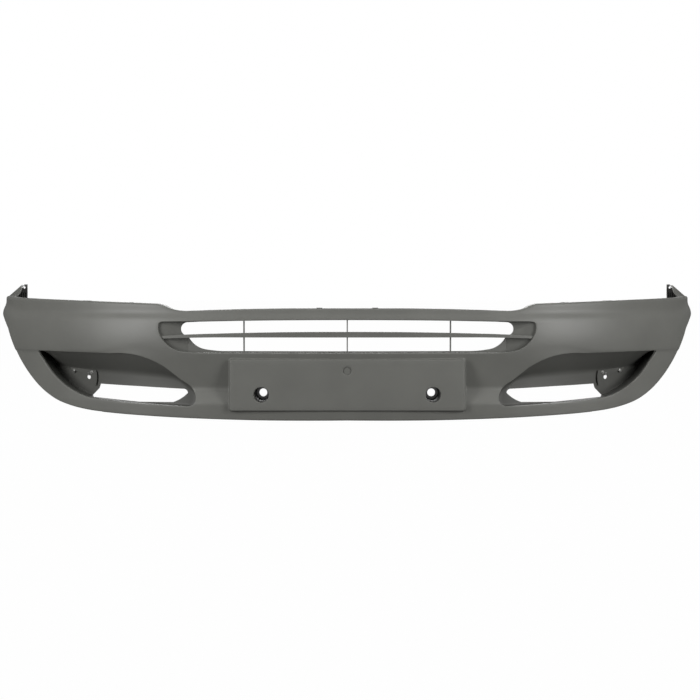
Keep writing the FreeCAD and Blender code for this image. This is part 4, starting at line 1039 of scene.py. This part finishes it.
def cut_through(mesh, cutter, thickness):
    """The sheet given a thickness, less a cutter."""
    sheet = bpy.data.objects.new("sheet", mesh)
    tool = bpy.data.objects.new("cutter", cutter)
    for item in (sheet, tool):
        bpy.context.scene.collection.objects.link(item)
    solidify = sheet.modifiers.new("thickness", "SOLIDIFY")
    solidify.thickness = thickness * MM
    solidify.offset = 1
    difference = sheet.modifiers.new("slot", "BOOLEAN")
    difference.operation = "DIFFERENCE"
    difference.solver = "EXACT"
    difference.object = tool
    evaluated = sheet.evaluated_get(bpy.context.evaluated_depsgraph_get())
    result = bpy.data.meshes.new_from_object(evaluated)
    for item in (sheet, tool):
        bpy.data.objects.remove(item)
    return result


def slot_prism(x, height, length, width):
    """Prism of a round-ended slot seen from the front."""
    straight, radius = (length - width) / 2, width / 2
    turns = np.radians(np.linspace(-90, 90, SLOT_END_STEPS))
    right = [(x + straight + radius * math.cos(a), height + radius * math.sin(a)) for a in turns]
    left = [(2 * x - px, 2 * height - pz) for px, pz in right]
    return prism(right + left + right[:1])


def pocket_pieces():
    """Both lamp pockets."""
    cutter = new_mesh("cutter", *joined(prism(LAMP_APERTURE), slot_prism(*BRACKET_SLOT)))
    sheet = new_mesh("pocket_sheet", *pocket_mesh(), facing_front=True)
    cut = cut_through(sheet, cutter, -WALL)
    ring = new_mesh("pocket_flange", *flange_ring())
    for name, side in (("right", 1), ("left", -1)):
        work = bmesh.new()
        work.from_mesh(cut)
        work.from_mesh(ring)
        if side < 0:
            for vertex in work.verts:
                vertex.co.x = -vertex.co.x
            bmesh.ops.reverse_faces(work, faces=work.faces)
        mesh = bpy.data.meshes.new(name + "_pocket")
        work.to_mesh(mesh)
        work.free()
        smooth_by_angle(mesh)
        # The pockets take the darkened grey, painted shade of the recesses.
        new_piece(name + "_pocket", mesh, "pocket_grey", name + "_lamp_pocket")


pocket_pieces()

# ---------------------------------------------------------------- pieces from their CAD shape

BEVELS = {
    "grille_frame": 0.8,
    "grille_blade": 1.6,
    "grille_upright_left": 0.6,
    "grille_upright_centre": 0.6,
    "grille_upright_right": 0.6,
    "plinth_plug": 0.6,
    "left_bolt_sleeve": 0.4,
    "right_bolt_sleeve": 0.4,
    "left_lamp_bracket": 0.4,
    "right_lamp_bracket": 0.4,
    "left_lamp_nut_clip": 0.2,
    "right_lamp_nut_clip": 0.2,
    "left_wing_bracket": 0.5,
    "right_wing_bracket": 0.5,
    "top_flange_clips": 0.25,
    "grille_screws": 0.3,
    "left_pocket_screws": 0.3,
    "right_pocket_screws": 0.3,
    "plinth_screws": 0.3,
    "left_wing_rivets": 0.2,
    "right_wing_rivets": 0.2,
    "left_bracket_screws": 0.3,
    "right_bracket_screws": 0.3,
}
SAME_PLACE = 0.00001
FLAT = math.radians(0.4)
BEVEL_SEGMENTS = 3


def finished(node, width):
    """The CAD shape with its tessellation cleaned and its edges rounded."""
    slots = {part["node"]: part["material_slot"] for part in frame["record"]["subparts"]}
    work = bmesh.new()
    work.from_mesh(frame["nodes"][node].data)
    bmesh.ops.remove_doubles(work, verts=work.verts, dist=SAME_PLACE)
    bmesh.ops.dissolve_limit(
        work, angle_limit=FLAT, verts=work.verts, edges=work.edges, delimit={"NORMAL"}
    )
    mesh = bpy.data.meshes.new(node + "_finished")
    work.to_mesh(mesh)
    work.free()
    smooth_by_angle(mesh)
    piece = new_piece(node + "_finished", mesh, slots[node], node)
    bevel = piece.modifiers.new("rounded", "BEVEL")
    bevel.width = width * MM
    bevel.segments = BEVEL_SEGMENTS
    bevel.limit_method = "ANGLE"
    bevel.angle_limit = SHARP
    bevel.harden_normals = False
    weighted = piece.modifiers.new("shading", "WEIGHTED_NORMAL")
    weighted.keep_sharp = False
    return piece


for node, width in BEVELS.items():
    finished(node, width)

# ---------------------------------------------------------------- lips of the wing brackets

LIP_X, LIP_WIDTH = 907.9, 25.4
LIP_FRONT, LIP_PLATE, LIP_BACK = 373.0, 379.1, 381.6
LIP_LOW, LIP_HIGH = 235.5, 246.4
LIP_RIBS, LIP_RIB_WIDTH, LIP_OVERLAP = 5, 2.0, 0.2


def block(low, high):
    """Box between two corners."""
    section = [(low[1], low[2]), (high[1], low[2]), (high[1], high[2]), (low[1], high[2])]
    return box_sweep([np.array([(x, y, z) for y, z in section]) for x in (low[0], high[0])])


def bracket_lips():
    """Ribbed lips that hold the wing brackets against the inner edge of their shelves."""
    plate = block((LIP_X, LIP_PLATE, LIP_LOW), (LIP_X + LIP_WIDTH, LIP_BACK, LIP_HIGH))
    blocks = [plate]
    for place in np.linspace(LIP_X, LIP_X + LIP_WIDTH - LIP_RIB_WIDTH, LIP_RIBS):
        rib_end = (place + LIP_RIB_WIDTH, LIP_PLATE + LIP_OVERLAP, LIP_HIGH)
        blocks.append(block((place, LIP_FRONT, LIP_LOW), rib_end))
    points, faces = joined(*blocks)
    for name, side in (("left", -1), ("right", 1)):
        mesh = new_mesh(name + "_bracket_lip", points * np.array([side, 1, 1]), faces)
        new_piece(name + "_bracket_lip", mesh, "moulded_dark", name + "_wing_bracket")


bracket_lips()

# ---------------------------------------------------------------- stage, light and camera

low_corner = cad_box[0]
CAMERA_AHEAD, CAMERA_HEIGHT, CAMERA_LENS = 3.198, 0.2505, 66.4
CAMERA_PITCH, CAMERA_TURN = 2.484, 0.122
SENSOR_WIDTH, CLIP_END = 36, 200
FLOOR_REACH, FLOOR_GAP = 60.0, 0.001
FLOOR_GREY, FLOOR_ROUGHNESS, FLOOR_GLOW = 0.18, 0.9, 0.99
WORLD_LIGHT, WORLD_SEEN = 0.2, 1.0
# Name, place, target, width, height and power of each soft light.
LIGHTS = [
    ("side_light", (-2.3, -1.9, 0.75), (-0.5, 0, 0.1), 0.9, 1.8, 57),
    ("side_light", (2.3, -1.9, 0.75), (0.5, 0, 0.1), 0.9, 1.8, 57),
    ("top_light", (0, -0.6, 2.2), (0, 0, 0.1), 3.0, 1.2, 19),
    ("rear_light", (0, 2.6, 1.6), (0, 0.1, 0.1), 2.4, 1.2, 42),
]


def add_floor():
    """Large floor just under the part, white to the camera and grey in its light."""
    signs = [(-1, -1), (1, -1), (1, 1), (-1, 1)]
    height = low_corner.z - FLOOR_GAP
    corners = [(x * FLOOR_REACH, y * FLOOR_REACH, height) for x, y in signs]
    mesh = bpy.data.meshes.new("floor")
    mesh.from_pydata(corners, [], [(0, 1, 2, 3)])
    material = bpy.data.materials.new("floor")
    material.use_nodes = True
    nodes, links = material.node_tree.nodes, material.node_tree.links
    shader = nodes["Principled BSDF"]
    shader.inputs["Base Color"].default_value = (FLOOR_GREY, FLOOR_GREY, FLOOR_GREY, 1)
    shader.inputs["Roughness"].default_value = FLOOR_ROUGHNESS
    glow = nodes.new("ShaderNodeEmission")
    glow.inputs["Color"].default_value = (1, 1, 1, 1)
    seen = nodes.new("ShaderNodeLightPath")
    share = nodes.new("ShaderNodeMath")
    share.operation = "MULTIPLY"
    share.inputs[1].default_value = FLOOR_GLOW
    links.new(seen.outputs["Is Camera Ray"], share.inputs[0])
    mixed = nodes.new("ShaderNodeMixShader")
    links.new(share.outputs["Value"], mixed.inputs["Fac"])
    links.new(shader.outputs["BSDF"], mixed.inputs[1])
    links.new(glow.outputs["Emission"], mixed.inputs[2])
    links.new(mixed.outputs["Shader"], nodes["Material Output"].inputs["Surface"])
    mesh.materials.append(material)
    floor = bpy.data.objects.new("floor", mesh)
    bpy.context.scene.collection.objects.link(floor)


def add_soft_light(name, place, target, width, height, power):
    """Rectangular soft light that faces a target."""
    light = bpy.data.lights.new(name, "AREA")
    light.shape = "RECTANGLE"
    light.size, light.size_y = width, height
    light.energy = power
    lamp = bpy.data.objects.new(name, light)
    lamp.location = place
    lamp.rotation_euler = (Vector(target) - Vector(place)).to_track_quat("-Z", "Y").to_euler()
    bpy.context.scene.collection.objects.link(lamp)


def add_world():
    """Even pale surroundings that look white and light the part softly."""
    world = bpy.data.worlds.new("surroundings")
    bpy.context.scene.world = world
    world.use_nodes = True
    nodes, links = world.node_tree.nodes, world.node_tree.links
    seen = nodes.new("ShaderNodeLightPath")
    strength = nodes.new("ShaderNodeMapRange")
    strength.inputs["To Min"].default_value = WORLD_LIGHT
    strength.inputs["To Max"].default_value = WORLD_SEEN
    links.new(seen.outputs["Is Camera Ray"], strength.inputs["Value"])
    links.new(strength.outputs["Result"], nodes["Background"].inputs["Strength"])
    nodes["Background"].inputs["Color"].default_value = (1, 1, 1, 1)


def add_camera():
    """Camera on the centre line, looking slightly down at the front face."""
    data = bpy.data.cameras.new("camera")
    data.lens = CAMERA_LENS
    data.sensor_width = SENSOR_WIDTH
    data.clip_end = CLIP_END
    camera = bpy.data.objects.new("camera", data)
    camera.location = (0, low_corner.y - CAMERA_AHEAD, CAMERA_HEIGHT)
    camera.rotation_euler = (math.radians(90 - CAMERA_PITCH), 0, -math.radians(CAMERA_TURN))
    bpy.context.scene.collection.objects.link(camera)
    bpy.context.scene.camera = camera


add_floor()
for light in LIGHTS:
    add_soft_light(*light)
add_world()
add_camera()
bpy.context.scene.view_settings.view_transform = "Standard"
